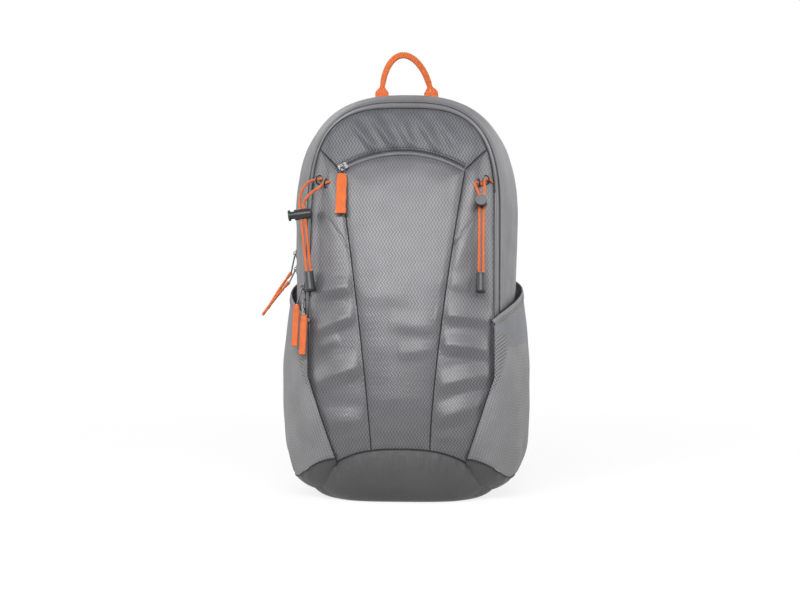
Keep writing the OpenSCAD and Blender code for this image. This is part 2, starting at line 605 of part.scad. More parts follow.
// The straight run of each keeper, from the cord end's rim up to its lock, and the spacing of its strands.
strand_half = 2.4;
left_run = [[-107.5, -91.5, 270], [-116, -77, 340]];
right_run = [[93, -103.5, 270], [93, -86.5, 354]];
function run_point(run, s) = blend(run[0], run[1], s);
left_side = [1, 0, 0.1] / norm([1, 0, 0.1]);
right_side = [1, 0, 0];
left_inner_route = concat(
    [for (i = [0:9]) run_point(left_run, i / 8) + strand_half * left_side],
    [[-111, -76, 356], [-104, -74.5, 363], [-97, -72.5, 367], loop_hole(1) + [-3.5, 0.6, -1.2], loop_hole(1),
        loop_hole(1) + [4, -1.5, 1]]);
left_outer_route = concat(
    [for (i = [0:9]) run_point(left_run, i / 8) - strand_half * left_side],
    [[-119, -74, 357], [-116, -71.5, 366], [-110.5, -68.5, 373], loop_hole(0) + [-5, 1.6, -0.6], loop_hole(0),
        loop_hole(0) + [4, -1.8, 1]]);
// The right cord's inner strand turns in through its loop from outside, the outer one goes out through its own.
right_inner_route = concat(
    [for (i = [0:9]) run_point(right_run, i / 8.5) - strand_half * right_side],
    [[87, -81, 366], loop_hole(2) + [-4.2, -3, -1], loop_hole(2) + [-1.8, -0.8, 0.3], loop_hole(2) + [1.4, 0.6, 0.2],
        loop_hole(2) + [3.4, -0.8, -2]]);
right_outer_route = concat(
    [for (i = [0:9]) run_point(right_run, i / 8.5) + strand_half * right_side],
    [[96, -79.5, 366], loop_hole(3) + [-3.4, -4.4, -2.4], loop_hole(3) + [-1.4, -1.4, 0], loop_hole(3) + [1.6, 1.4, 0.4],
        loop_hole(3) + [3.8, 2.4, -1.2]]);
module left_cord_inner() { cord(left_inner_route); }
module left_cord_outer() { cord(left_outer_route); }
module right_cord_inner() { cord(right_inner_route); }
module right_cord_outer() { cord(right_outer_route); }

// Cord locks: a barrel with a sprung plunger, both slotted for the two strands.
// Local x runs along the barrel with the plunger at +x, y across it, z along the cords.
lock_clear = 0.5;
lock_bore_d = lock_d - 3;
lock_floor = 2.2;
plunger_d = lock_bore_d - 0.6;
spring_l = 1.3;
flange_t = 2.4;
plunger_in = lock_l - lock_floor - spring_l - plunger_travel - lock_clear;
slot_w = cord_d + 2 * lock_clear;
slot_l = 2 * strand_half + slot_w;
module slot(w, l) {
    linear_extrude(2 * lock_d, center = true) {
        square([l - w, w], center = true);
        for (x = [-1, 1]) translate([x * (l - w) / 2, 0]) circle(w / 2);
    }
}
module lock_barrel(turn) {
    color(plastic) difference() {
        translate([-lock_l / 2, 0, 0]) rotate([0, 90, 0]) cylinder(d = lock_d, h = lock_l);
        translate([-lock_l / 2 + lock_floor, 0, 0]) rotate([0, 90, 0]) cylinder(d = lock_bore_d, h = lock_l);
        rotate([0, 0, turn]) slot(slot_w, slot_l);
    }
}
// The plunger's slot is longer by its travel, so that the cords stay clear as it is pressed.
module lock_plunger(turn) {
    color(plastic) difference() {
        union() {
            translate([lock_l / 2 - plunger_in, 0, 0]) rotate([0, 90, 0])
                cylinder(d = plunger_d, h = plunger_in + plunger_travel + 1);
            translate([lock_l / 2 + plunger_travel + 1, 0, 0]) rotate([0, 90, 0]) cylinder(d = lock_d, h = flange_t);
        }
        translate([plunger_travel / 2, 0, 0]) if (turn == 0) slot(slot_w, slot_l + plunger_travel);
        else cube([slot_w + plunger_travel, slot_l, 2 * lock_d], center = true);
    }
}
module lock_spring() {
    color(metal) translate([-lock_l / 2 + lock_floor, 0, 0]) rotate([0, 90, 0]) difference() {
        cylinder(d = plunger_d - 0.8, h = spring_l);
        translate([0, 0, -1]) cylinder(d = plunger_d - 2.4, h = spring_l + 2);
    }
}
// The left lock lies across the front with its plunger to the left; the right one faces forwards.
left_cord_up = unit(left_run[1] - left_run[0]);
left_lock_x = unit(-left_side + (left_side * left_cord_up) * left_cord_up);
right_cord_up = unit(right_run[1] - right_run[0]);
module at_lock(centre, x, z) {
    y = cross(z, x);
    multmatrix([[x[0], y[0], z[0], centre[0]], [x[1], y[1], z[1], centre[1]], [x[2], y[2], z[2], centre[2]]])
        children();
}
module at_left_lock() { at_lock(run_point(left_run, 0.95), left_lock_x, left_cord_up) children(); }
module at_right_lock() {
    at_lock(run_point(right_run, 0.96), cross(right_side, right_cord_up), right_cord_up) children();
}
module left_lock_barrel() { at_left_lock() lock_barrel(0); }
module left_lock_plunger() { at_left_lock() lock_plunger(0); }
module left_lock_spring() { at_left_lock() lock_spring(); }
module right_lock_barrel() { at_right_lock() lock_barrel(90); }
module right_lock_plunger() { at_right_lock() lock_plunger(90); }
module right_lock_spring() { at_right_lock() lock_spring(); }

// Cord ends: a tapered clip with a rounded foot that holds both strands' ends.
module cord_end() {
    foot = 3;
    color(plastic) translate([0, 0, -cord_end_l]) {
        translate([0, 0, foot]) cylinder(d1 = cord_end_d, d2 = cord_end_d - 2, h = cord_end_l - foot);
        rotate_extrude() intersection() {
            square([cord_end_d, 2 * foot]);
            union() {
                square([cord_end_d / 2 - foot, foot]);
                translate([cord_end_d / 2 - foot, foot]) circle(foot);
            }
        }
    }
}
module left_cord_end() { at_lock(left_run[0], -left_lock_x, left_cord_up) cord_end(); }
module right_cord_end() { at_lock(right_run[0], right_side, right_cord_up) cord_end(); }

// Haul loop: a rolled webbing arch on two round feet that lie along its hinge line.
haul_y = back_y - 6;
haul_seat = 2.9;
haul_hinge_z = back_h + haul_d / 2 + haul_seat;
haul_steps = 20;
function haul_point(a) = [-haul_w / 2 * cos(a) * (1 - 0.12 * sin(a)), haul_y,
    haul_hinge_z + (haul_h - haul_d / 2 - haul_hinge_z) * pow(sin(a), 0.75)];
module haul_loop() {
    route = [for (i = [0:haul_steps]) haul_point(180 * i / haul_steps)];
    rings = [for (i = [0:haul_steps])
        let (d = unit(route[min(haul_steps, i + 1)] - route[max(0, i - 1)]), b = [0, 1, 0], a = cross(d, b))
        [for (j = [0:7]) let (w = 360 * (j + 0.5) / 8) route[i] + haul_d / 2 * (0.85 * cos(w) * a + sin(w) * b)]];
    faces = [for (i = [0:haul_steps - 1]) for (j = [0:7])
        let (p = i * 8 + j, q = i * 8 + (j + 1) % 8) each [[p, q + 8, p + 8], [p, q, q + 8]]];
    caps = [[for (j = [0:7]) 7 - j], [for (j = [0:7]) haul_steps * 8 + j]];
    color(orange) union() {
        polyhedron([for (ring = rings) each ring], concat(faces, caps), convexity = 6);
        for (side = [-1, 1]) translate([side * haul_w / 2, haul_y, haul_hinge_z]) rotate([0, 90, 0])
            cylinder(d = haul_d + 1, h = 15, center = true);
    }
}

// Shoulder harness behind the pack: padded straps, ladder locks, lower webbing and its anchors.
strap_top_z = back_h - 22;
strap_foot_z = 196;
strap_top_x = 48;
strap_foot_x = 92;
strap_foot_w = 40;
strap_arch = 34;
function strap_y(s) = back_y + 0.4 + strap_arch * sin(180 * 0.8 * s);
function strap_point(s, u) =
    [blend(strap_top_x, strap_foot_x, ease(s)) + u * blend(strap_w, strap_foot_w, ease(s)), strap_y(s),
        blend(strap_top_z, strap_foot_z, s)];
module shoulder_strap() {
    inner = [for (j = [0:14]) [for (u = [-0.5, -0.2, 0.2, 0.5]) strap_point(j / 14, u)]];
    outer = [for (row = inner) [for (p = row) p + [0, strap_t, 0]]];
    color(dark_cloth) sheet(outer, inner);
}
module left_shoulder_strap() { mirror([1, 0, 0]) shoulder_strap(); }
module right_shoulder_strap() { shoulder_strap(); }

bar = 4;
slot_h = 5;
lock_w = webbing_w + 2 * bar;
ladder_h = 3 * bar + 2 * slot_h;
ladder_gap = 0.4;
ladder_y = strap_y(1) + strap_t / 2;
ladder_z = strap_foot_z - ladder_gap - bar / 2;
ladder_tilt = 4;
module ladder_lock() {
    color(plastic) translate([strap_foot_x, ladder_y, ladder_z]) rotate([ladder_tilt, 0, 0]) difference() {
        union() {
            rotate([0, 90, 0]) cylinder(d = bar, h = lock_w, center = true);
            translate([0, 0, -(ladder_h - bar / 2) / 2]) cube([lock_w, bar, ladder_h - bar / 2], center = true);
        }
        for (i = [0, 1]) translate([0, 0, -bar / 2 - slot_h / 2 - i * (slot_h + bar)])
            cube([webbing_w + 1, 3 * bar, slot_h], center = true);
    }
}
module left_ladder_lock() { mirror([1, 0, 0]) ladder_lock(); }
module right_ladder_lock() { ladder_lock(); }

anchor_y = back_y + 0.4;
anchor_t = 3;
anchor_x = 142;
anchor_z = 122;
webbing_t = 1.6;
ladder_foot = [strap_foot_x, ladder_y, ladder_z - ladder_h + bar / 2 - ladder_gap];
anchor_top = [anchor_x - 16, anchor_y + anchor_t + 0.4, anchor_z + 4];
module lower_webbing() {
    n = 6;
    across = unit(cross(anchor_top - ladder_foot, [0, 1, 0]));
    rows = [for (j = [0:n]) let (s = j / n, p = blend(ladder_foot, anchor_top, s) + [0, 6 * sin(180 * s), 0],
        side = blend([1, 0, 0], across * sign(across[0]), s))
        [for (u = [-0.5, 0, 0.5]) p + u * (webbing_w - 3) * side]];
    color(dark_cloth) sheet([for (row = rows) [for (p = row) p + [0, webbing_t, 0]]], rows);
}
module left_lower_webbing() { mirror([1, 0, 0]) lower_webbing(); }
module right_lower_webbing() { lower_webbing(); }
module strap_anchors() {
    inner_x = 106;
    color(dark_cloth) for (side = [0, 1]) mirror([side, 0, 0]) upright(anchor_y + anchor_t, anchor_t)
        polygon([[inner_x, anchor_z - 24], [anchor_x, anchor_z - 14], [anchor_x, anchor_z + 14],
            [inner_x, anchor_z + 24]]);
}

yoke_panel();
front_centre_panel();
left_front_panel();
right_front_panel();
base_panel();
front_gusset();
middle_gusset();
rear_gusset();
back_panel();
back_foam();
back_pads();
compartment_divider();
front_pocket_lining();
main_zip_chain();
rear_zip_chain();
front_zip_chain();
front_slider();
front_pull_wire();
front_pull_tab();
main_upper_slider();
main_upper_pull_wire();
main_upper_pull_tab();
main_lower_slider();
main_lower_pull_wire();
main_lower_pull_tab();
rear_upper_slider();
rear_upper_pull_wire();
rear_upper_pull_tab();
rear_lower_slider();
rear_lower_pull_wire();
rear_lower_pull_tab();
left_side_pocket();
right_side_pocket();
left_pocket_hem();
right_pocket_hem();
keeper_loops();
left_cord_inner();
left_cord_outer();
right_cord_inner();
right_cord_outer();
left_lock_barrel();
left_lock_plunger();
left_lock_spring();
left_cord_end();
right_lock_barrel();
right_lock_plunger();
right_lock_spring();
right_cord_end();
haul_loop();
left_shoulder_strap();
right_shoulder_strap();
left_ladder_lock();
right_ladder_lock();
left_lower_webbing();
right_lower_webbing();
strap_anchors();
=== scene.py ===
"""Daypack: the cloth, zips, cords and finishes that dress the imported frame, in metres."""
import math

import bpy
import numpy as np
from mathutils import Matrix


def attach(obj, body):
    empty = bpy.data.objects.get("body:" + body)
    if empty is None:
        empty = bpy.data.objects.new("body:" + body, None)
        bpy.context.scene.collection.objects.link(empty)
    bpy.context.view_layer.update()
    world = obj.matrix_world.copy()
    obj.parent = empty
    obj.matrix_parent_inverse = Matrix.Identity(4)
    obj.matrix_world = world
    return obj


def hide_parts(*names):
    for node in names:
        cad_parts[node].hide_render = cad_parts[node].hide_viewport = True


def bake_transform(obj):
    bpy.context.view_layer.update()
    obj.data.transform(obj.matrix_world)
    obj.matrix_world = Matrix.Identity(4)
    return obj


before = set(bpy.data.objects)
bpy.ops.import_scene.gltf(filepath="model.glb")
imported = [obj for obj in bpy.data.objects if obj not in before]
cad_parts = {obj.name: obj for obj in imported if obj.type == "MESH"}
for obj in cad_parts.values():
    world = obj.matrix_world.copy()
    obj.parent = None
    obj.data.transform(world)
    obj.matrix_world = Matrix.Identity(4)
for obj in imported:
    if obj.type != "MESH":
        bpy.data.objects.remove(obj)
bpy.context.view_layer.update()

bl_info = {
    "name": "Daypack",
    "version": (1, 0, 0),
    "blender": (4, 5, 0),
    "location": "3D View > Sidebar > Daypack",
    "description": "Builds the cloth, zips, cords and finishes of a small daypack over its solid frame",
    "category": "Object",
}


# ---------------------------------------------------------------- settings

def colour(name, description, default):
    """One colour setting, as a linear RGB triple."""
    return bpy.props.FloatVectorProperty(name=name, description=description, default=default,
                                         subtype="COLOR", size=3, min=0, max=1)


def length(name, description, default):
    """One length setting, in metres."""
    return bpy.props.FloatProperty(name=name, description=description, default=default,
                                   unit="LENGTH", min=0, precision=4)


class DaypackSizes(bpy.types.PropertyGroup):
    """Sizes of the sewn detail."""
    puff: length("Puff", "How far a panel swells between its seams", 0.0022)
    seam_depth: length("Seam depth", "How far cloth is drawn in along a seam", 0.0016)
    fold_height: length("Fold height", "Height of the soft folds on the front", 0.0046)
    cloth: length("Cloth", "Thickness of the shell cloth", 0.0010)
    rib: length("Weave column", "Width of one zigzag column of the shell weave", 0.0030)
    tooth_pitch: length("Tooth pitch", "Distance from one zip tooth to the next", 0.0021)
    stitch: length("Stitch", "Distance from one stitch to the next", 0.0032)


class DaypackColours(bpy.types.PropertyGroup):
    """Colours of the cloths and fittings."""
    shell: colour("Shell", "Zigzag shell cloth", (0.126, 0.125, 0.136))
    # The yoke's tone is painted shade and light: a bluer tone of the shell cloth, set to how its backward lean is lit.
    yoke: colour("Yoke", "Yoke cloth in a bluer tone, painted as the shading of its lean", (0.128, 0.131, 0.147))
    base: colour("Base", "Smooth base cloth", (0.080, 0.079, 0.082))
    knit: colour("Knit", "Stretch knit of the side pockets", (0.255, 0.251, 0.258))
    band: colour("Band", "Smooth band under the pocket hem", (0.205, 0.207, 0.230))
    accent: colour("Accent", "Orange cord, loop and pull tabs", (0.990, 0.182, 0.040))
    plastic: colour("Plastic", "Cord locks and cord ends", (0.024, 0.027, 0.029))
    thread: colour("Thread", "Dark seam thread and zip teeth", (0.022, 0.021, 0.022))
    metal: colour("Metal", "Zip sliders and pull wires", (0.420, 0.420, 0.430))
    mesh: colour("Back mesh", "Air mesh of the back and straps", (0.060, 0.060, 0.064))
    lining: colour("Lining", "Thin lining inside", (0.240, 0.240, 0.250))


def sizes():
    """The sewn sizes as set in the panel."""
    return bpy.context.scene.daypack_sizes


def paint(name):
    """A set colour with alpha."""
    return (*getattr(bpy.context.scene.daypack_colours, name), 1.0)


# ---------------------------------------------------------------- the frame's shape, in millimetres

# The four seam rings, from the front seam to the back seam: half width, top, power of the arch, lean of the legs,
# and how far in and how high their feet are.
HALF = np.array([107.0, 113.5, 133.0, 119.0])
TOP = np.array([460.0, 468.0, 475.0, 466.0])
ROUND = np.array([3.2, 2.9, 2.5, 2.6])
LEAN = np.array([-1.0, -0.5, 5.0, 3.0])
FOOT = np.array([6.0, 6.0, 16.0, 12.0])
FOOT_Z = np.array([24.0, 24.0, 22.0, 17.0])
# Swell of the three gussets between them.
CROWN = (0.8, 6.0, 2.0)
# Heights where the arches end and where the legs start to draw in, and the way down that they draw in over.
ARCH_Z, LEG_Z, FOOT_REACH = 325.0, 160.0, 144.0
# Front: its depth where it stands upright, the heights between which it curves, and the slope it ends with.
FRONT_Y, UPRIGHT_Z, SLOPE_Z, SLOPE = -117.0, 130.0, 370.0, 0.36
# Its flat part: half width low down and high up, and the height where it starts to widen; its edges roll back by ROLL.
FLAT_LOW, FLAT_HIGH, FLAT_Z, ROLL = 20.0, 80.0, 200.0, 22.0
# Main seam: its way behind the front seam and its slope. Rear seam: its depth at LEG_Z and its slope. Back: its depth.
MAIN_BEHIND, MAIN_SLOPE, REAR_Y, REAR_SLOPE = 10.0, 0.2, 20.0, 0.05
BACK_Y = 75.0
# Base: height of its front seam in the middle, radius and share of its front round, radius and start of its back round,
# and how far its cloth lies under the seams.
BASE_TOP, BASE_FRONT_R, BASE_FRONT, BASE_BACK_R, BASE_BACK, BASE_UNDER = 65.0, 30.0, 0.4, 14.0, 0.8, 0.6
# Half widths of the centre panel at its foot and at the zip.
CENTRE_FOOT, CENTRE_TOP = 34.0, 73.254
# Pocket: heights of its foot and hem at the front edge and at the back edge, and where the front edge turns inwards.
POCKET_FRONT, POCKET_BACK = (52.0, 215.0), (25.5, 256.0)
POCKET_TURN_Z, POCKET_SLANT = 149.0, 0.33
# How far its edges stand off the front and the back, how far its back edge stands out from the back seam, and how far
# before the back it bends.
POCKET_OFF, POCKET_OUT, POCKET_BEND = 3.7, 4.2, 28.0
# Height of its fullest level and reach of the fullness above that. Then the half widths that its cubic is drawn to near
# the front and near the back: at the closed foot, at the fullest level, less at the hem, and less where it is tucked.
POCKET_FULL_Z, POCKET_REACH = 127.0, 102.0
NEAR_FOOT, NEAR_FULL, NEAR_LESS = 150.0, 130.1, 8.0
FAR_FOOT, FAR_FULL, FAR_LESS, FAR_TUCK = 137.0, 180.1, 15.0, 20.0
# Share of the pocket's height that is knit, below its hem.
HEM_SHARE = 1 - 7 / 163
# Zips: half a tape's width, and the front zip's radius and half angle in the leaning plane of the yoke.
TAPE = 3.4
ZIP_R = 134.5
ZIP_HALF = math.radians(33)
# Share of the front ring that the yoke takes up on each side.
YOKE_END = 0.335
# The leaning plane of the yoke: the zip's centre, the way up and the way out.
YOKE_MIDDLE = np.array([0.0, -105.3, 282.5])
YOKE_UP = np.array([0.0, 0.338719, 0.940887])
YOKE_OUT = np.array([0.0, -0.940887, 0.338719])


def mix(a, b, t):
    """Straight blend from a to b."""
    return a + (b - a) * t


def ease(t):
    """Smooth step from 0 to 1."""
    t = np.clip(t, 0, 1)
    return t * t * (3 - 2 * t)


def unit(v):
    """Directions of length 1."""
    return v / np.maximum(np.linalg.norm(v, axis=-1, keepdims=True), 1e-9)


def front_line(z):
    """Depth of the front on the middle line: upright low down, then curving to a steady lean back."""
    z = np.asarray(z, float)
    low = 0.0028 * (UPRIGHT_Z - z) ** 2
    curve = SLOPE_Z - UPRIGHT_Z
    mid = SLOPE * (z - UPRIGHT_Z) ** 2 / (2 * curve)
    high = SLOPE * (curve / 2 + z - SLOPE_Z)
    return FRONT_Y + np.where(z >= SLOPE_Z, high, np.where(z >= UPRIGHT_Z, mid, low))


def front_y(x, z):
    """Depth of the front: its middle line, rolled back by the square of the way past the flat part."""
    flat = mix(FLAT_LOW, FLAT_HIGH, np.clip((np.asarray(z, float) - FLAT_Z) / (SLOPE_Z - FLAT_Z), 0, 1))
    past = np.maximum(0, np.abs(x) - flat) / (HALF[0] - flat)
    return front_line(z) + ROLL * past ** 2


def leg_x(k, z):
    """Half width of seam ring k below the arch: leaning straight, then drawn in by a power of the way to the foot."""
    z = np.asarray(z, float)
    up = HALF[k] - LEAN[k] * (ARCH_Z - z) / (ARCH_Z - LEG_Z)
    low = HALF[k] - LEAN[k] - FOOT[k] * (np.maximum(0, LEG_Z - z) / FOOT_REACH) ** 2.2
    return np.where(z >= LEG_Z, up, low)


def seam_y(k, x, z):
    """Depth of seam ring k."""
    if k == 0:
        return front_y(x, z)
    if k == 1:
        high = front_y(leg_x(0, LEG_Z), LEG_Z) + MAIN_BEHIND + MAIN_SLOPE * (z - LEG_Z)
        return np.where(z >= LEG_Z, high, front_y(leg_x(0, z), z) + MAIN_BEHIND)
    if k == 2:
        return REAR_Y + REAR_SLOPE * (z - LEG_Z)
    return np.full_like(np.asarray(z, float), BACK_Y)


def seam(k, t):
    """Seam ring k: a super-ellipse arch for |t| under a half, then a leg down to the foot at |t| = 1."""
    t = np.asarray(t, float)
    a = np.abs(t)
    turn = np.pi / 2 * np.minimum(1, 2 * a)
    e = 2 / ROUND[k]
    z_arch = ARCH_Z + (TOP[k] - ARCH_Z) * np.maximum(0, np.cos(turn)) ** e
    z = np.where(a > 0.5, mix(ARCH_Z, FOOT_Z[k], 2 * a - 1), z_arch)
    x = np.where(a > 0.5, leg_x(k, z), HALF[k] * np.sin(turn) ** e)
    return np.stack([np.sign(t) * x, seam_y(k, x, z), z], -1)


def outward(k, t):
    """Sideways direction away from the middle of seam ring k."""
    p = seam(k, t)
    n = np.stack([p[..., 0] / HALF[k], 0 * p[..., 0], (p[..., 2] - ARCH_Z) / (TOP[k] - ARCH_Z)], -1)
    leg = np.stack([np.sign(t), 0 * t, 0 * t], -1)
    return unit(np.where((np.abs(t) > 0.5)[..., None], leg, n))


def band_point(k, t, s):
    """Gusset k: straight from seam ring k to k + 1, crowned outwards by a parabola that fades at the feet."""
    a, b = seam(k, t), seam(k + 1, t)
    lift = CROWN[k] * 4 * s * (1 - s) * np.clip((1 - np.abs(t)) * 6, 0, 1)
    return mix(a, b, s[..., None]) + lift[..., None] * outward(k, t)


BASE_X = float(leg_x(0, FOOT_Z[0]))


def base_seam_z(x):
    """Height of the seam between the front and the base: a flat arch."""
    return mix(BASE_TOP, FOOT_Z[0], np.minimum(1, np.abs(x) / BASE_X) ** 2.8)


def zip_arch(a, r):
    """A point on the front zip: a circle of radius r in the leaning plane of the yoke."""
    a = np.asarray(a, float)
    return YOKE_MIDDLE + (r * np.cos(a))[..., None] * YOKE_UP + (r * np.sin(a))[..., None] * np.array([1.0, 0, 0])


def base_point(u, v):
    """Base: down the front in a quarter round, flat underneath with raised sides, up the back in a quarter round."""
    feet = np.stack([seam(k, np.array(1.0)) for k in range(4)])
    x0 = u * BASE_X
    z0 = base_seam_z(x0) - BASE_UNDER
    y0 = front_y(x0, z0)
    front, back = v <= BASE_FRONT, v >= BASE_BACK
    ft = np.pi / 2 * np.minimum(1, v / BASE_FRONT)
    bt = np.pi / 2 * np.maximum(0, (v - BASE_BACK) / (1 - BASE_BACK))
    under = mix(y0 + BASE_FRONT_R, BACK_Y - BASE_BACK_R, (v - BASE_FRONT) / (BASE_BACK - BASE_FRONT))
    y = np.where(front, y0 + BASE_FRONT_R * (1 - np.cos(ft)),
                 np.where(back, BACK_Y - BASE_BACK_R * (1 - np.sin(bt)), under))
    s = np.maximum(0, (np.abs(u) - 0.5) / 0.5)
    rim = np.interp(y, feet[:, 1], feet[:, 2]) - BASE_UNDER
    low = rim * (1 - (1 - s ** 2.5) ** 0.4)
    up = mix(low, FOOT_Z[3] - BASE_UNDER, 1 - np.cos(bt))
    z = np.where(front, mix(z0, low, np.sin(ft)), np.where(back, up, low))
    return np.stack([u * np.interp(y, feet[:, 1], feet[:, 0]), y, np.maximum(low, z)], -1)


def cubic(a, b, c, d, t):
    """Cubic curve with four control values."""
    return (1 - t) ** 3 * a + 3 * (1 - t) ** 2 * t * b + 3 * (1 - t) * t * t * c + t ** 3 * d


def pocket_edge_x(z):
    """Where the right pocket's front edge lies: on the front seam, slanting inwards below its turn."""
    return leg_x(0, np.maximum(z, POCKET_TURN_Z)) - POCKET_SLANT * np.maximum(0, POCKET_TURN_Z - z)


def pocket_point(s, v):
    """Right side pocket: a cubic from the front edge round the side to the back edge, fuller in the middle."""
    foot, hem = mix(POCKET_FRONT[0], POCKET_BACK[0], ease(s / 0.4)), mix(POCKET_FRONT[1], POCKET_BACK[1], s)
    za, zb = mix(*POCKET_FRONT, v), mix(*POCKET_BACK, v)
    z = mix(foot, hem, v)
    level = mix(za, zb, 0.6)
    xa = pocket_edge_x(za)
    ya = front_y(xa, za) - POCKET_OFF
    xb = leg_x(3, zb) + POCKET_OUT
    less = (np.maximum(0, level - POCKET_FULL_Z) / POCKET_REACH) ** 2
    tuck = FAR_TUCK * (np.maximum(0, POCKET_FULL_Z - level) / POCKET_FULL_Z) ** 2
    open_ = np.where(v >= 0.2, 1, (1 - (1 - np.minimum(1, v / 0.2)) ** 2.2) ** 0.45)
    near = mix(NEAR_FOOT, NEAR_FULL - NEAR_LESS * less, open_)
    far = mix(FAR_FOOT, FAR_FULL - FAR_LESS * less - tuck, open_)
    return np.stack([cubic(xa, near, far, xb, s), cubic(ya, ya, BACK_Y - POCKET_BEND, BACK_Y - POCKET_OFF, s), z], -1)


def corner_point(s, v):
    """Right corner of the base: from the pocket's lower edge down in a round to the base's front and raised side."""
    top = pocket_point(s, 0 * s) + np.array([-0.9, 0.6, 0.6])
    feet = np.stack([seam(k, np.array(1.0)) for k in range(4)])
    u = mix(0.742, 1.0, np.minimum(1, s / 0.3)) * BASE_X
    front = base_point(u / BASE_X, 0.02 + 0.16 * ease(s / 0.2)) + np.array([-0.4, 0.9, 0.4])
    y = mix(front[..., 1], BACK_Y - 3, np.maximum(0, (s - 0.3) / 0.7) ** 1.25)
    rim = np.stack([0.92 * np.interp(y, feet[:, 1], feet[:, 0]), y,
                    0.34 * np.interp(y, feet[:, 1], feet[:, 2]) + 1.6], -1)
    low = mix(front, rim, ease((s - 0.15) / 0.3)[..., None])
    turn = np.pi / 2 * v
    bow = np.stack([1 - np.cos(turn), v, np.sin(turn)], -1)
    straight = np.stack([v, v, v], -1)
    return mix(top, low, mix(straight, bow, 0.55))


# ---------------------------------------------------------------- meshes from arrays

def grid(n, m, lo_u=0.0, hi_u=1.0, lo_v=0.0, hi_v=1.0):
    """Two n by m arrays of evenly spaced parameters."""
    return np.meshgrid(np.linspace(lo_u, hi_u, n), np.linspace(lo_v, hi_v, m), indexing="ij")


def lengths(p, axis):
    """Length along a grid of points, from its start, in the points' own unit."""
    step = np.linalg.norm(np.diff(p, axis=axis), axis=-1)
    first = np.zeros_like(np.take(step, [0], axis))
    return np.concatenate([first, np.cumsum(step, axis)], axis)


def normals(p):
    """Unit normals of a grid of points: the cross product of its two directions."""
    return unit(np.cross(np.gradient(p, axis=0), np.gradient(p, axis=1)))


def grid_faces(n, m, ring=False):
    """Corner numbers of the quads of an n by m grid, its rows closed to rings where asked."""
    i = np.arange(n - 1)[:, None]
    j = np.arange(m if ring else m - 1)[None, :]
    near, far = j, (j + 1) % m
    return np.stack([i * m + near, (i + 1) * m + near, (i + 1) * m + far, i * m + far], -1).reshape(-1, 4)


def piece(name, points, faces, material, body="bag", uv=None, values=None, stands_for=(), slot=None):
    """One finished object from points in millimetres and quads or triangles, riding on a body."""
    mesh = bpy.data.meshes.new(name)
    pts = np.ascontiguousarray(points.reshape(-1, 3) * 0.001, dtype=np.float32)
    faces = np.asarray(faces, dtype=np.int32)
    mesh.vertices.add(len(pts))
    mesh.vertices.foreach_set("co", pts.ravel())
    mesh.loops.add(faces.size)
    mesh.loops.foreach_set("vertex_index", faces.ravel())
    mesh.polygons.add(len(faces))
    mesh.polygons.foreach_set("loop_start", np.arange(0, faces.size, faces.shape[1], dtype=np.int32))
    mesh.update(calc_edges=True)
    mesh.polygons.foreach_set("use_smooth", np.ones(len(faces), bool))
    if uv is not None:
        layer = mesh.uv_layers.new(name="cloth")
        flat = np.ascontiguousarray(uv.reshape(-1, 2) * 0.001, dtype=np.float32)
        layer.data.foreach_set("uv", flat[faces.ravel()].ravel())
    for key, value in (values or {}).items():
        mesh.attributes.new(key, "FLOAT", "POINT").data.foreach_set(
            "value", np.ascontiguousarray(value.ravel(), dtype=np.float32))
    if mesh.validate():
        raise RuntimeError(f"{name}: its mesh had faults")
    mesh.materials.append(material)
    obj = bpy.data.objects.new(name, mesh)
    bpy.context.collection.objects.link(obj)
    if body:
        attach(obj, body)
    if stands_for:
        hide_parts(*stands_for)
    return obj


def cloth_piece(name, p, material, uv, flip=False, thick=None, **more):
    """A sheet of cloth from a grid of points, given its thickness inwards."""
    n, m = p.shape[:2]
    faces = grid_faces(n, m)
    obj = piece(name, p, faces[:, ::-1] if flip else faces, material, uv=uv, **more)
    wall = obj.modifiers.new("thickness", "SOLIDIFY")
    wall.thickness = sizes().cloth if thick is None else thick
    wall.offset = -1.0
    return obj


def smooth_path(points, n):
    """n evenly spaced points on a smooth curve through a few points: a cubic between each two, with slopes from their
    neighbours."""
    q = np.asarray(points, float)
    q = np.vstack([2 * q[0] - q[1], q, 2 * q[-1] - q[-2]])
    t = np.linspace(0, len(points) - 1 - 1e-9, 40 * len(points))
    i = t.astype(int)
    f = (t - i)[:, None]
    a, b, c, d = q[i], q[i + 1], q[i + 2], q[i + 3]
    fine = 0.5 * (2 * b + (c - a) * f + (2 * a - 5 * b + 4 * c - d) * f ** 2 + (3 * b - a - 3 * c + d) * f ** 3)
    run = lengths(fine, 0)
    return sampled(fine, run, np.linspace(0, run[-1], n))


def sampled(values, run, at):
    """Rows of three values, given along a run of lengths, read at other lengths."""
    return np.stack([np.interp(at, run, values[:, k]) for k in range(3)], -1)


def path_frames(path, up):
    """Run, side and lift directions along a path: the lift is the given direction made square to the path."""
    along = unit(np.gradient(path, axis=0))
    side = unit(np.cross(along, np.broadcast_to(np.asarray(up, float), path.shape)))
    return along, side, np.cross(side, along)


def carried(path, up, profile, wide=1.0, thick=1.0):
    """A closed profile carried along a path; wide and thick scale it on the way."""
    _, side, lift = path_frames(path, up)
    wide = np.broadcast_to(np.asarray(wide, float), len(path))[:, None, None]
    thick = np.broadcast_to(np.asarray(thick, float), len(path))[:, None, None]
    return (path[:, None] + side[:, None] * profile[None, :, :1] * wide
            + lift[:, None] * profile[None, :, 1:] * thick)


def round_profile(n, a, b, power=2.0):
    """A super-ellipse of n points, half sizes a and b: a circle at power 2 and nearly a box at 6."""
    w = np.linspace(0, 2 * np.pi, n, endpoint=False)
    c, s = np.cos(w), np.sin(w)
    return np.stack([a * np.sign(c) * np.abs(c) ** (2 / power), b * np.sign(s) * np.abs(s) ** (2 / power)], -1)


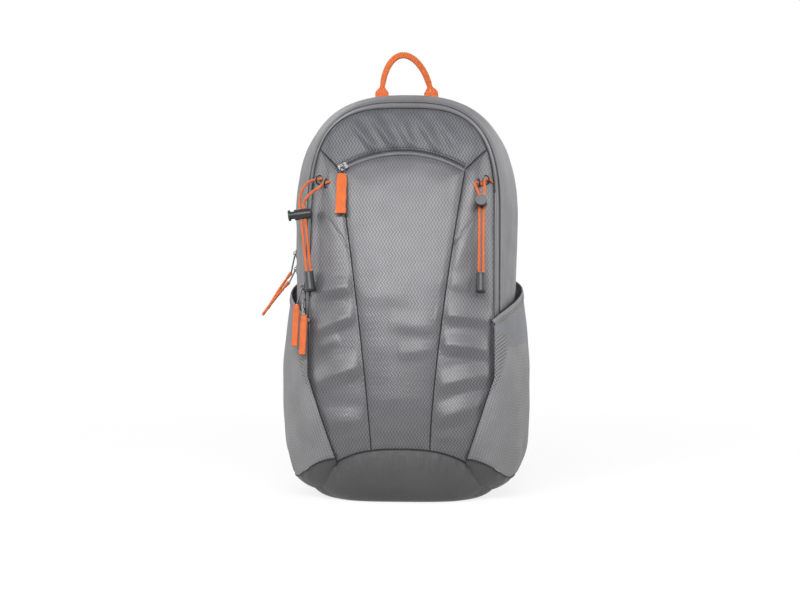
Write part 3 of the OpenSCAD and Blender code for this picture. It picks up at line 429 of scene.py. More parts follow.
def capped_rings(n, m):
    """Triangles of n rings of m points, closed by fans to the points n * m and n * m + 1 at the first and last ring."""
    quads = grid_faces(n, m, ring=True)
    k = np.arange(m)
    first = np.stack([(k + 1) % m, k, np.full(m, n * m)], -1)
    last = np.stack([(n - 1) * m + k, (n - 1) * m + (k + 1) % m, np.full(m, n * m + 1)], -1)
    return np.vstack([quads[:, [0, 1, 2]], quads[:, [0, 2, 3]], first, last])


def tube_piece(name, p, material, **more):
    """A closed tube from rings of points, with a middle point capping each end; it is unrolled for its UV map."""
    n, m = p.shape[:2]
    around = lengths(np.concatenate([p, p[:, :1]], 1), 1)[:, :m]
    uv = np.stack([around, lengths(p, 0)], -1).reshape(-1, 2)
    uv = np.vstack([uv, uv[:1], uv[-1:]])
    pts = np.vstack([p.reshape(-1, 3), p[0].mean(0), p[-1].mean(0)])
    return piece(name, pts, outward_faces(pts, capped_rings(n, m)), material, uv=uv, **more)


def outward_faces(pts, tris):
    """The triangles of a closed shape, turned so that its signed volume is above nought."""
    a, b, c = pts[tris[:, 0]], pts[tris[:, 1]], pts[tris[:, 2]]
    return tris if np.einsum("ij,ij->", a, np.cross(b, c)) > 0 else tris[:, ::-1]


def copies(shape, faces, places, along, side, lift):
    """One small shape repeated at many places, each turned to its own three directions."""
    pts = (places[:, None] + along[:, None] * shape[None, :, :1] + side[:, None] * shape[None, :, 1:2]
           + lift[:, None] * shape[None, :, 2:])
    n = len(places)
    idx = (np.arange(n)[:, None, None] * len(shape) + faces[None]).reshape(-1, faces.shape[1])
    return pts.reshape(-1, 3), idx


def bead():
    """A small closed bead: a coarse sphere around the x axis, half size 1."""
    a, b = np.meshgrid(np.linspace(0, np.pi, 5)[1:-1], np.linspace(0, 2 * np.pi, 6, endpoint=False), indexing="ij")
    ring = np.stack([np.cos(a), np.sin(a) * np.cos(b), np.sin(a) * np.sin(b)], -1).reshape(-1, 3)
    pts = np.vstack([ring, [[1, 0, 0], [-1, 0, 0]]])
    return pts, outward_faces(pts, capped_rings(3, 6))


def merged(*parts):
    """Several point and face arrays as one."""
    base, pts, faces = 0, [], []
    for p, f in parts:
        pts.append(p.reshape(-1, 3))
        faces.append(f + base)
        base += len(pts[-1])
    return np.vstack(pts), np.vstack(faces)


# The two sides, by the sign of x.
SIDES = ((-1, "left"), (1, "right"))


def on_side(p, side):
    """Points given for the right side, mirrored for the left one."""
    return p if side > 0 else p * np.array([-1.0, 1.0, 1.0])


# ---------------------------------------------------------------- finishes

class Wire:
    """A node tree being filled in: each call adds one node and gives its output."""

    def __init__(self, tree):
        self.tree = tree

    def put(self, socket, value):
        """Links an output to a socket, or sets the socket's own value."""
        if isinstance(value, bpy.types.NodeSocket):
            self.tree.links.new(value, socket)
        else:
            socket.default_value = value

    def add(self, kind, inputs=(), out=0, **settings):
        """A node with its inputs and settings; gives one output, or the node itself."""
        node = self.tree.nodes.new(kind)
        for key, value in settings.items():
            setattr(node, key, value)
        for key, value in dict(inputs).items():
            self.put(node.inputs[key], value)
        return node if out is None else node.outputs[out]

    def math(self, operation, a, b=0.0, c=0.0):
        """One step of arithmetic."""
        return self.add("ShaderNodeMath", {0: a, 1: b, 2: c}, operation=operation)

    def span(self, value, lo, hi, to_lo=0.0, to_hi=1.0):
        """A value carried from one range to another, and held at its ends."""
        return self.add("ShaderNodeMapRange", {0: value, 1: lo, 2: hi, 3: to_lo, 4: to_hi})

    def blend(self, factor, a, b, mode="MIX"):
        """Two colours blended by a factor."""
        return self.add("ShaderNodeMix", {0: factor, 6: a, 7: b}, 2, data_type="RGBA", blend_type=mode)

    def toned(self, colour, tone):
        """A colour times a grey tone."""
        grey = self.add("ShaderNodeCombineColor", {0: tone, 1: tone, 2: tone})
        return self.blend(1.0, colour, grey, "MULTIPLY")

    def seen(self):
        """1 for what the camera sees straight, and 1 for what it sees straight, in a gloss or through the object."""
        rays = self.add("ShaderNodeLightPath", out=None).outputs
        through = self.math("MAXIMUM", rays["Is Glossy Ray"], rays["Is Transmission Ray"])
        return rays["Is Camera Ray"], self.math("MAXIMUM", rays["Is Camera Ray"], through)

    def wave(self, value):
        """A sine of whole turns, from 0 to 1."""
        turn = self.math("MULTIPLY", value, 2 * math.pi)
        return self.math("MULTIPLY_ADD", self.math("SINE", turn), 0.5, 0.5)

    def group(self, maker, place, size):
        """The outputs of an effect's shared group, which is made on first use, at a place and with a size."""
        if maker not in GROUPS:
            GROUPS[maker] = maker()
        return self.add("ShaderNodeGroup", {0: place, 1: size}, None, node_tree=GROUPS[maker]).outputs


GROUPS = {}


def node_group(name, *outputs):
    """An empty shader group: a Wire, its place, its size, and a call that sets its outputs and gives its tree."""
    tree = bpy.data.node_groups.new(name, "ShaderNodeTree")
    for key, way, kind in (("Place", "INPUT", "Vector"), ("Size", "INPUT", "Float"),
                           *((key, "OUTPUT", "Float") for key in outputs)):
        tree.interface.new_socket(name=key, in_out=way, socket_type=f"NodeSocket{kind}")
    wire = Wire(tree)
    start = tree.nodes.new("NodeGroupInput").outputs
    end = tree.nodes.new("NodeGroupOutput").inputs

    def close(*values):
        """Sets the outputs in their order."""
        for key, value in zip(outputs, values):
            wire.put(end[key], value)
        return tree

    return wire, start["Place"], start["Size"], close


def cloth_group(name):
    """An empty shader group for cloth: a Wire, its coordinates across and up, its size, and a call that sets the light
    and the height of its thread and gives its tree."""
    w, place, size, close = node_group(name, "Thread", "Height")
    uv = w.add("ShaderNodeSeparateXYZ", {0: place}, None).outputs
    return w, uv[0], uv[1], size, close


def zigzag_weave():
    """Upright zigzag lines: a sine across the cloth whose phase swings to and fro with height."""
    w, u, v, column, close = cloth_group("zigzag weave")
    across = w.math("DIVIDE", u, column)
    up = w.math("DIVIDE", v, w.math("MULTIPLY", column, 1.8))
    swing = w.math("PINGPONG", up, 0.5)
    line = w.wave(w.math("MULTIPLY_ADD", swing, 1.8, across))
    fine = w.wave(w.math("MULTIPLY", up, 7.0))
    thread = w.math("MULTIPLY_ADD", fine, 0.16, w.math("MULTIPLY", line, 0.84))
    return close(thread, thread)


def knit_ribs():
    """Knitted columns of small V stitches: slanted lines that change side with each half column."""
    w, u, v, column, close = cloth_group("knit ribs")
    across = w.math("DIVIDE", u, column)
    swing = w.math("PINGPONG", across, 0.5)
    stitch = w.wave(w.math("MULTIPLY_ADD", swing, 1.5, w.math("DIVIDE", v, column)))
    rib = w.wave(across)
    return close(w.math("MULTIPLY_ADD", stitch, 0.6, w.math("MULTIPLY", rib, 0.4)),
                 w.math("MULTIPLY_ADD", rib, 0.6, w.math("MULTIPLY", stitch, 0.4)))


def plain_weave():
    """Threads over and under: the product of two sines, and their greater ridge as height."""
    w, u, v, thread, close = cloth_group("plain weave")
    a, b = w.wave(w.math("DIVIDE", u, thread)), w.wave(w.math("DIVIDE", v, thread))
    return close(w.math("MULTIPLY", a, b), w.math("MAXIMUM", a, b))


def braid():
    """Crossing diagonals of a braided cord or webbing: the product of two slanted sines, and their greater ridge as
    height."""
    w, u, v, strand, close = cloth_group("braid")
    a, b = w.math("DIVIDE", u, strand), w.math("DIVIDE", v, strand)
    one, two = w.wave(w.math("ADD", a, b)), w.wave(w.math("SUBTRACT", a, b))
    return close(w.math("MULTIPLY", one, two), w.math("MAXIMUM", one, two))


def heather():
    """Soft mottling of dyed yarn: coarse and fine noise, each around 0.5."""
    w, place, size, close = node_group("heather", "Mottle", "Speck")
    scale = w.math("DIVIDE", 1.0, size)
    fine = w.math("MULTIPLY", scale, 14.0)
    return close(w.add("ShaderNodeTexNoise", {"Vector": place, "Scale": scale, "Detail": 3.0, "Roughness": 0.55}),
                 w.add("ShaderNodeTexNoise", {"Vector": place, "Scale": fine, "Detail": 2.0, "Roughness": 0.6}))


def grain():
    """Fine moulding grain with a few faint scratches drawn along one direction."""
    w, place, size, close = node_group("grain", "Grain", "Scratch")
    dots = w.add("ShaderNodeTexNoise", {"Vector": place, "Scale": w.math("DIVIDE", 1.0, size), "Detail": 2.0})
    drawn = w.add("ShaderNodeMapping", {"Vector": place, "Scale": (900.0, 900.0, 60.0)})
    lines = w.add("ShaderNodeTexNoise", {"Vector": drawn, "Scale": 1.0, "Detail": 2.0})
    return close(dots, w.span(lines, 0.55, 0.75))


def shades(rgba, dark, light):
    """A darker and a lighter shade of one colour."""
    rgb = np.array(rgba[:3])
    return (*np.clip(rgb * dark, 0, 1), 1.0), (*np.clip(rgb * light, 0, 1), 1.0)


def new_material(name):
    """An empty material with its Wire, its shader, its surface coordinates and its object coordinates."""
    material = bpy.data.materials.new(name)
    material.use_nodes = True
    tree = material.node_tree
    shader = tree.nodes["Principled BSDF"]
    w = Wire(tree)
    cloth = w.add("ShaderNodeUVMap", uv_map="cloth")
    place = w.add("ShaderNodeTexCoord", out=None).outputs["Object"]
    return material, w, shader, cloth, place


def surface(w, shader, colour, rough, height, distance):
    """Sets a shader's colour and roughness, and lifts its shading by a height field."""
    w.put(shader.inputs["Base Color"], colour)
    w.put(shader.inputs["Roughness"], rough)
    w.put(shader.inputs["Normal"], w.add("ShaderNodeBump", {"Height": height, "Distance": distance}))


def woven(name, rgba, effect, size, dark, light, rough, bump, mottle=0.12, sheen=0.0, patch=0.02, gloss=0.5):
    """Cloth: an effect group shades, roughens and lifts its threads, and mottling in patches varies its dye."""
    material, w, shader, cloth, place = new_material(name)
    thread, height = w.group(effect, cloth, size)
    coarse, speck = w.group(heather, place, patch)
    tone = w.math("MULTIPLY", w.span(coarse, 0.3, 0.7, 1 - mottle, 1 + mottle), w.span(speck, 0.25, 0.75, 0.93, 1.07))
    surface(w, shader, w.toned(w.blend(thread, *shades(rgba, dark, light)), tone),
            w.span(thread, 0, 1, rough[1], rough[0]), height, bump)
    shader.inputs["Sheen Weight"].default_value = sheen
    shader.inputs["Specular IOR Level"].default_value = gloss
    return material


def pocket_knit():
    """Stretch knit that changes to a smooth band under the hem and to open net in the front corner."""
    material, w, shader, cloth, place = new_material("pocket knit")
    rib, rib_height = w.group(knit_ribs, cloth, 0.0036)
    fine, _ = w.group(plain_weave, cloth, 0.0016)
    _, net_height = w.group(braid, cloth, 0.0042)
    coarse, speck = w.group(heather, place, 0.03)
    band = w.add("ShaderNodeAttribute", out=2, attribute_name="band")
    hole = w.add("ShaderNodeAttribute", out=2, attribute_name="net")
    knit = w.blend(rib, *shades(paint("knit"), 0.58, 1.18))
    smooth = w.blend(fine, *shades(paint("band"), 0.85, 1.08))
    cut = w.span(net_height, 0.80, 0.96)
    net = w.blend(cut, *shades(paint("knit"), 0.45, 1.35))
    tone = w.math("MULTIPLY", w.span(coarse, 0.3, 0.7, 0.9, 1.1), w.span(speck, 0.25, 0.75, 0.95, 1.05))
    height = w.math("MULTIPLY", rib_height, w.math("SUBTRACT", 1.0, band))
    surface(w, shader, w.toned(w.blend(hole, w.blend(band, knit, smooth), net), tone), w.span(rib, 0, 1, 0.78, 0.55),
            w.math("MULTIPLY_ADD", cut, w.math("MULTIPLY", hole, 1.2), height), 0.0003)
    shader.inputs["Sheen Weight"].default_value = 0.10
    return material


def air_mesh(name, rgba, cell):
    """Spacer mesh: rounded open cells between raised yarn, on the surface's own coordinates."""
    material, w, shader, cloth, place = new_material(name)
    cells = w.add("ShaderNodeTexVoronoi", {"Vector": cloth, "Scale": 1 / cell, "Randomness": 0.25},
                  feature="DISTANCE_TO_EDGE")
    coarse, _ = w.group(heather, place, 0.03)
    wall = w.span(cells, 0.05, 0.28, 1.0, 0.0)
    tone = w.span(coarse, 0.3, 0.7, 0.88, 1.12)
    surface(w, shader, w.toned(w.blend(wall, *shades(rgba, 0.35, 1.5)), tone), w.span(wall, 0, 1, 0.9, 0.6),
            wall, 0.0008)
    return material


def moulded(name, rgba, rough=0.36, wear=1.5):
    """Moulded plastic: fine grain, a little colour drift and faint rubbed streaks."""
    material, w, shader, _, place = new_material(name)
    dots, scratch = w.group(grain, place, 0.0007)
    coarse, _ = w.group(heather, place, 0.006)
    rubbed = w.math("MULTIPLY", scratch, w.span(coarse, 0.35, 0.75))
    surface(w, shader, w.blend(rubbed, *shades(rgba, 0.8, wear)), w.span(dots, 0.2, 0.8, rough - 0.08, rough + 0.14),
            dots, 0.00008)
    return material


def steel(name, rgba, rough):
    """Drawn or cast metal: streaks and small dull spots in its gloss and colour."""
    material, w, shader, _, place = new_material(name)
    dots, scratch = w.group(grain, place, 0.0012)
    surface(w, shader, w.blend(w.span(dots, 0.3, 0.7), *shades(rgba, 0.55, 1.1)),
            w.math("MULTIPLY_ADD", scratch, 0.18, rough), dots, 0.00004)
    shader.inputs["Metallic"].default_value = 1.0
    return material


# Woven finishes: material, colour and its shade, effect, thread size in metres (zigzag: in weave columns), dark and
# light thread, roughness of light and dark thread, height of the weave in metres, and what differs from the usual.
WOVEN = {
    "shell": ("shell cloth", "shell", 1, zigzag_weave, 1.27, 0.30, 1.30, (0.36, 0.50), 0.00020,
              {"mottle": 0.10, "gloss": 1.0}),
    # The yoke finish puts the yoke's painted-shade tone over the shell weave, with less gloss.
    "yoke": ("yoke cloth", "yoke", 1, zigzag_weave, 1.27, 0.34, 1.32, (0.42, 0.56), 0.00020, {"mottle": 0.10}),
    # The gussets are shell cloth painted 15% lighter: painted light that stands in for the lamps and white backdrop
    # lighting the sides.
    "gusset": ("gusset cloth", "shell", 1.15, zigzag_weave, 1, 0.62, 1.08, (0.4, 0.55), 0.00018,
               {"mottle": 0.10, "gloss": 1.0}),
    "base": ("base cloth", "base", 1, plain_weave, 0.0016, 0.84, 1.10, (0.34, 0.5), 0.00025,
             {"mottle": 0.10, "sheen": 0.05, "patch": 0.035}),
    "hem": ("hem elastic", "knit", 1, knit_ribs, 0.0014, 0.7, 1.25, (0.55, 0.75), 0.0003, {}),
    "tape": ("zip tape", "shell", 1.55, knit_ribs, 0.0016, 0.75, 1.1, (0.6, 0.8), 0.0003, {}),
    "piping": ("piping", "shell", 1, plain_weave, 0.0012, 0.8, 1.2, (0.5, 0.7), 0.0002, {}),
    "accent": ("orange webbing", "accent", 1, braid, 0.0028, 0.70, 1.40, (0.5, 0.72), 0.0006,
               {"mottle": 0.10, "sheen": 0.05, "patch": 0.006}),
    "cord": ("orange cord", "accent", 1, braid, 0.00168, 0.72, 1.30, (0.45, 0.7), 0.0004,
             {"mottle": 0.08, "sheen": 0.05, "patch": 0.01}),
    "thread": ("dark thread", "thread", 1, braid, 0.0007, 0.6, 1.6, (0.5, 0.7), 0.0002, {}),
    "strap": ("strap cloth", "shell", 0.55, zigzag_weave, 1, 0.66, 1.1, (0.5, 0.72), 0.0005, {}),
    "webbing": ("black webbing", "mesh", 1, braid, 0.0026, 0.6, 1.4, (0.5, 0.7), 0.0005, {}),
    "lining": ("lining", "lining", 1, plain_weave, 0.0012, 0.82, 1.08, (0.4, 0.55), 0.0002, {}),
    "foam": ("foam", "lining", 1, plain_weave, 0.003, 0.9, 1.05, (0.8, 0.95), 0.0003, {}),
}
# The other finishes: maker, material, colour and its shade, and the maker's own values.
SOLID = {
    "teeth": (moulded, "zip teeth", "thread", 1, 0.34, 2.4),
    "plastic": (moulded, "lock plastic", "plastic", 1),
    "slider": (steel, "slider metal", "metal", 0.6, 0.3),
    "wire": (steel, "pull wire steel", "metal", 1, 0.2),
    "air mesh": (air_mesh, "air mesh", "mesh", 1, 0.0042),
}
MATERIALS = {}


def tint(key, shade):
    """A set colour, made lighter or darker."""
    return shades(paint(key), 1, shade)[1]


def finish(name):
    """A finish by its name, made on first use."""
    if name in MATERIALS:
        return MATERIALS[name]
    if name == "knit":
        made = pocket_knit()
    elif name in WOVEN:
        title, key, shade, effect, size, dark, light, rough, bump, more = WOVEN[name]
        size = size * sizes().rib if effect is zigzag_weave else size
        made = woven(title, tint(key, shade), effect, size, dark, light, rough, bump, **more)
    else:
        maker, title, key, shade, *values = SOLID[name]
        made = maker(title, tint(key, shade), *values)
    MATERIALS[name] = made
    return made


# ---------------------------------------------------------------- stage and cords

# Floor: rings and points of its grid, its radius, and how far it lies under the base, in millimetres.
FLOOR_GRID, FLOOR_R, FLOOR_DROP = (40, 96), 9000.0, 0.05
# Lamps: name, place, aim, width and height in metres, and power in watts.
LAMPS = (
    ("key", (-0.15, -2.3, 1.42), (0, 0, 0.27), (2.2, 0.45), 68),
    ("fill", (1.8, -1.6, 1.2), (0, 0, 0.25), (0.9, 0.6), 8),
    ("fill left", (-1.8, -1.6, 1.2), (0, 0, 0.25), (0.9, 0.6), 8),
    ("side", (2.2, -0.1, 0.75), (0, 0, 0.25), (1.0, 1.0), 17),
    ("side left", (-2.2, -0.1, 0.75), (0, 0, 0.25), (1.0, 1.0), 14),
    ("rim", (-1.4, 2.0, 1.7), (0, 0, 0.25), (1.6, 1.2), 10),
    ("rim right", (1.6, 1.8, 1.2), (0, 0, 0.25), (1.4, 1.4), 9),
)
# Camera: lens and sensor in millimetres, turn and height angles, distance and target in metres.
LENS, SENSOR = 105.2, 36.0
AZIMUTH, ELEVATION, DISTANCE = math.radians(3.6), math.radians(3), 2.8
TARGET = np.array([-0.0070, 0.0, 0.2326])

# Diameter of the elastic cord in metres.
CORD_D = 0.0032
# Centre lines of the four elastic strands, from the cord end up to the thread loop, as in the part's source, in metres.
CORD_ROUTES = {
    "left_cord_inner": [(-.105112, -.0915, .270239), (-.107237, -.087875, .287739), (-.109362, -.08425, .305239),
                        (-.111487, -.080625, .322739), (-.113612, -.077, .340239), (-.114674, -.0751875, .348989),
                        (-.111, -.076, .356), (-.104, -.0745, .363), (-.097, -.0725, .367),
                        (-.0926375, -.0729043, .371648), (-.0891375, -.0735043, .372848),
                        (-.0851375, -.0750043, .373848)],
    "left_cord_outer": [(-.109888, -.0915, .269761), (-.112013, -.087875, .287261), (-.114138, -.08425, .304761),
                        (-.116263, -.080625, .322261), (-.118388, -.077, .339761), (-.119451, -.0751875, .348511),
                        (-.119, -.074, .357), (-.116, -.0715, .366), (-.1105, -.0685, .373),
                        (-.10391, -.06318, .37607), (-.09891, -.06478, .37667), (-.09491, -.06658, .37767)],
    "right_cord_inner": [(.0906, -.1035, .27), (.0906, -.0995, .289765), (.0906, -.0955, .309529),
                         (.0906, -.0915, .329294), (.0906, -.0875, .349059), (.0906, -.0855, .358941),
                         (.087, -.081, .366), (.0849375, -.0765043, .371848), (.0873375, -.0743043, .373148),
                         (.0905375, -.0729043, .373048), (.0925375, -.0743043, .370848)],
    "right_cord_outer": [(.0954, -.1035, .27), (.0954, -.0995, .289765), (.0954, -.0955, .309529),
                         (.0954, -.0915, .329294), (.0954, -.0875, .349059), (.0954, -.0855, .358941),
                         (.096, -.0795, .366), (.09551, -.06918, .37427), (.09751, -.06618, .37667),
                         (.10051, -.06338, .37707), (.10271, -.06238, .37547)],
}
# From its last route point each strand goes on into the cloth, by this much.
CORD_ENDS = {"left_cord_inner": (.0026, .0090, .0004), "left_cord_outer": (.0024, .0090, .0006),
             "right_cord_inner": (.0015, .0095, -.0016), "right_cord_outer": (.0012, .0090, -.0020)}


def build_stage():
    """World, floor, soft lamps and the camera of the photograph's view."""
    bpy.context.scene.view_settings.view_transform = "Standard"
    build_world()
    build_floor()
    for lamp in LAMPS:
        build_lamp(*lamp)
    build_camera()


def build_world():
    """A white backdrop that stands behind the object: reflections meet it there, and a dimmer room in front."""
    world = bpy.data.worlds.new("studio")
    world.use_nodes = True
    bpy.context.scene.world = world
    w = Wire(world.node_tree)
    straight, seen = w.seen()
    back = world.node_tree.nodes["Background"]
    back.inputs["Color"].default_value = (1, 1, 1, 1)
    way = w.add("ShaderNodeSeparateXYZ", {0: w.add("ShaderNodeTexCoord", out=None).outputs["Generated"]}, 1)
    room = w.span(way, -0.2, 0.35, 0.25, 1.0)
    w.put(back.inputs["Strength"], w.span(straight, 0, 1, w.span(seen, 0, 1, 0.13, room), 1.0))


def build_floor():
    """A disc whose middle takes the shadow and whose far part is plain white to the camera."""
    ring, turn = grid(*FLOOR_GRID, 0.0, 1.0, 0.0, 2 * np.pi)
    reach = FLOOR_R * ring ** 2.2
    p = np.stack([reach * np.cos(turn), reach * np.sin(turn), 0 * reach - FLOOR_DROP], -1)
    material = bpy.data.materials.new("floor")
    material.use_nodes = True
    tree = material.node_tree
    tree.nodes.clear()
    w = Wire(tree)
    place = w.add("ShaderNodeTexCoord", out=None).outputs["Object"]
    away = w.add("ShaderNodeVectorMath", {0: place}, 1, operation="LENGTH")
    straight, seen = w.seen()
    matt = w.add("ShaderNodeBsdfDiffuse", {"Color": (0.24, 0.24, 0.24, 1)})
    glow = w.add("ShaderNodeEmission", {"Strength": w.math("MULTIPLY", seen, 0.80)})
    near = w.add("ShaderNodeAddShader", {0: matt, 1: glow})
    room = w.span(w.add("ShaderNodeSeparateXYZ", {0: place}, 1), -0.5, 0.5, 0.25, 1.0)
    far = w.add("ShaderNodeEmission", {"Strength": w.span(straight, 0, 1, w.span(seen, 0, 1, 0.2, room), 1.0)})
    mixed = w.add("ShaderNodeMixShader", {0: w.span(away, 0.30, 1.1), 1: near, 2: far})
    w.put(w.add("ShaderNodeOutputMaterial", out=None).inputs["Surface"], mixed)
    floor = piece("floor", p, grid_faces(*FLOOR_GRID), material, body=None)


def build_lamp(name, spot, aim, size, power):
    """One soft lamp, turned to its aim."""
    data = bpy.data.lights.new(name, "AREA")
    data.shape, data.size, data.size_y, data.energy = "RECTANGLE", size[0], size[1], power
    lamp = bpy.data.objects.new(name, data)
    bpy.context.collection.objects.link(lamp)
    lamp.location = spot
    way = np.array(aim) - np.array(spot)
    lamp.rotation_euler = (math.atan2(math.hypot(way[0], way[1]), -way[2]), 0, math.atan2(-way[0], way[1]))


def build_camera():
    """The camera, on a sphere round its target."""
    data = bpy.data.cameras.new("camera")
    data.lens, data.sensor_width = LENS, SENSOR
    camera = bpy.data.objects.new("camera", data)
    bpy.context.collection.objects.link(camera)
    camera.location = TARGET + DISTANCE * np.array([math.sin(AZIMUTH) * math.cos(ELEVATION),
                                                    -math.cos(AZIMUTH) * math.cos(ELEVATION), math.sin(ELEVATION)])
    camera.rotation_euler = (math.pi / 2 - ELEVATION, 0, AZIMUTH)
    bpy.context.scene.camera = camera


def build_cords():
    """Four elastic strands: a round tube along each route, from its thread loop down to the cord end."""
    ring = round_profile(12, CORD_D * 500, CORD_D * 500)
    for name, route in CORD_ROUTES.items():
        route = np.array(route)[::-1] * 1000
        path = smooth_path(np.vstack([route[:1] + np.array(CORD_ENDS[name]) * 1000, route]), 64)
        obj = tube_piece(f"{name}_strand", carried(path, (0.3, -1.0, 0.45), ring), finish("cord"), stands_for=[name],
                         slot="elastic_cord")
        float(lengths(path, 0)[-1] * 0.001)


# ---------------------------------------------------------------- shell

# A point inside the pack, which the cloth faces away from.
CORE = np.array([0.0, -9.5, 230.0])

# Crests of the soft folds on the front: start x and z, end x and z, width, share of the fold height.
FOLDS = np.array([
    (-108, 243, -48, 255, 9.0, 1.1), (-108, 196, -50, 222, 8.0, 1.4), (-105, 178, -70, 192, 6.0, 0.55),
    (-112, 134, -44, 163, 10.0, 1.6), (-103, 93, -40, 97, 10.5, 1.5), (-66, 78, -40, 82, 6.0, 0.5),
    (40, 222, 112, 213, 8.0, 1.0), (40, 189, 112, 177, 9.0, 1.45), (41, 139, 112, 152, 9.5, 1.55),
    (40, 98, 100, 118, 10.5, 1.75), (40, 80, 82, 77, 6.0, 0.55), (46, 262, 80, 252, 8.0, 0.5),
    (84, 328, 62, 272, 9.0, 0.5), (58, 372, 100, 366, 18.0, 0.35),
    (-68, 452, -32, 408, 4.6, 1.15), (-42, 457, -7, 408, 4.6, 1.25), (-14, 459, 14, 408, 4.6, 1.0),
    (12, 455, 42, 408, 5.0, 0.95), (40, 450, 66, 408, 5.5, 0.65),
    (-62, 240, 10, 246, 12.0, 0.30), (-14, 212, 54, 204, 9.0, 0.40), (-2, 176, 46, 182, 8.0, 0.40),
    (-40, 120, 30, 128, 10.0, 0.25),
])
# Ripples of relaxed cloth: rate across and up, phase and share of each. Puckers of the base: rate, phase and share.
RIPPLES = ((0.11, 0.06, 0.0, 1.0), (-0.07, 0.13, 1.3, 1.0), (0.19, -0.05, 0.4, 0.7), (0.05, 0.21, 2.2, 0.6))
PUCKERS = ((0.36, 0.0, 1.0), (0.61, 1.0, 0.7), (1.03, 0.3, 0.5))
# Height of the ripples in metres, reach of a seam into the swell and into the folds, and the way the front lifts in y
# and z.
RIPPLE_HIGH, SWELL_REACH, FOLD_REACH, FRONT_LIFT = 0.0004, 18.0, 6.0, (-0.95, 0.25)
# Where the left lock ends its travel: x and z, and the reach that the cloth is flat for.
LOCK_REST = (-102.0, 288.0, 9.0, 15.0)
# Faint creases on the side panels: start x and z, end x and z, with their depth, half width and length.
CREASES = {"left": (-86, 331, -60, 298), "right": (83, 328, 57, 300)}
CREASE_DEPTH, CREASE_HALF, CREASE_RUN = 1.1, 1.8, 45.0


def line_places(x, z, x0, z0, x1, z1):
    """How far places are along a line from its start, and how far beside it; and the line's length."""
    way = unit(np.array([x1 - x0, z1 - z0], float))
    beside = ((x - x0) * -way[1] + (z - z0) * way[0]) * np.sign(way[0])
    return (x - x0) * way[0] + (z - z0) * way[1], beside, math.hypot(x1 - x0, z1 - z0)


def crease(x, z, line):
    """A narrow groove along a line, faded at both of its ends."""
    along, beside, _ = line_places(x, z, *line)
    ends = ease((along + 3) / 6) * ease((CREASE_RUN - along) / 6)
    return CREASE_DEPTH * np.exp(-(beside / CREASE_HALF) ** 2) * ends


def ridges(x, z):
    """Soft folds: each is a roof with a rounded crest across its line, of a long even slope above and a short one
    below, faded at both of its ends."""
    lift = np.zeros_like(x)
    for *line, width, high in FOLDS:
        along, beside, reach = line_places(x, z, *line)
        above, below = 1 - beside / width / 1.9, 1 + beside / width / 1.3
        roof = (above + below) / 2 - np.sqrt(((above - below) / 2) ** 2 + 0.02)
        roof = (roof + np.sqrt(roof ** 2 + 0.012)) / 2
        lift += high * roof * np.sin(np.pi * np.clip(along / reach, 0, 1)) ** 0.5
    return lift


def ripple(x, z):
    """Small uneven waves of relaxed cloth: the mean of four slanting sines."""
    total = sum(share for *_, share in RIPPLES)
    return sum(share * np.sin(a * x + b * z + phase) for a, b, phase, share in RIPPLES) / total


def drawn_in(d, width=4.0):
    """How far cloth is pulled in near a seam at distance d, from 1 on the seam to 0."""
    return np.exp(-(np.maximum(d, 0) / width) ** 2)


def front_sheet(x, z, edge, swell=1.0, free=None):
    """Front cloth over the front's depth: swelled between seams, folded where it is free, drawn in along its edges
    and left flat where the left lock ends its travel."""
    s = sizes()
    free = edge if free is None else free
    folds = s.fold_height * ridges(x, z) * (1 - drawn_in(free, FOLD_REACH))
    out = 1000 * (s.puff * swell * (1 - drawn_in(edge, SWELL_REACH)) + folds + RIPPLE_HIGH * ripple(x, z)
                  - s.seam_depth * drawn_in(edge))
    lock_x, lock_z, wide, tall = LOCK_REST
    out = out * (1 - np.exp(-((x - lock_x) / wide) ** 2 - ((z - lock_z) / tall) ** 2))
    return np.stack([x, front_y(x, z) + FRONT_LIFT[0] * out, z + FRONT_LIFT[1] * out], -1)


def cut_sheet(p, size=None):
    """Works out the size that a stretched cloth is cut to: the longest row and column of its grid unless a size is
    given. The size is not kept."""
    across, up = np.diff(p, axis=0) * 0.001, np.diff(p, axis=1) * 0.001
    size = size or (np.linalg.norm(across, axis=-1).sum(0).max(), np.linalg.norm(up, axis=-1).sum(1).max())


def faces_core(p):
    """True where a grid of points faces the core, so that its faces have to be turned."""
    return float(np.sum(normals(p) * (p - CORE))) < 0


def outer_normals(p):
    """Unit normals of a grid of points, each turned away from the core."""
    n = normals(p)
    return n * np.sign(np.sum(n * (p - CORE), -1, keepdims=True))


def shell_piece(name, p, material, uv, stands_for, slot="shell_cloth", **more):
    """A piece of shell cloth that faces away from the core."""
    return cloth_piece(name, p, finish(material), uv, faces_core(p), stands_for=stands_for, slot=slot, **more)


def centre_half(v):
    """Half width of the centre panel at its share of height v."""
    return mix(CENTRE_FOOT, CENTRE_TOP, v ** 1.35)


def centre_seam(v):
    """Right seam of the centre panel in x and z, from the base seam up to the end of the zip."""
    top = YOKE_MIDDLE[2] + ZIP_R * math.cos(ZIP_HALF) * YOKE_UP[2]
    return centre_half(v), mix(base_seam_z(CENTRE_FOOT), top, v)


def centre_grid(n, m, inset=0.0):
    """Centre panel in x and z: between its side seams, from the base seam to the zip's arch."""
    s, v = grid(n, m, -1, 1)
    low = base_seam_z(CENTRE_FOOT * s) + inset
    a = np.arcsin(np.clip(CENTRE_TOP * s / ZIP_R, -1, 1))
    high = YOKE_MIDDLE[2] + (ZIP_R - TAPE - inset) * np.cos(a) * YOKE_UP[2]
    x = s * (centre_half(v) - inset)
    z = mix(low, high, v)
    edge = np.minimum(np.minimum((1 - np.abs(s)) * centre_half(v), v * (high - low)), (1 - v) * (high - low))
    return x, z, edge


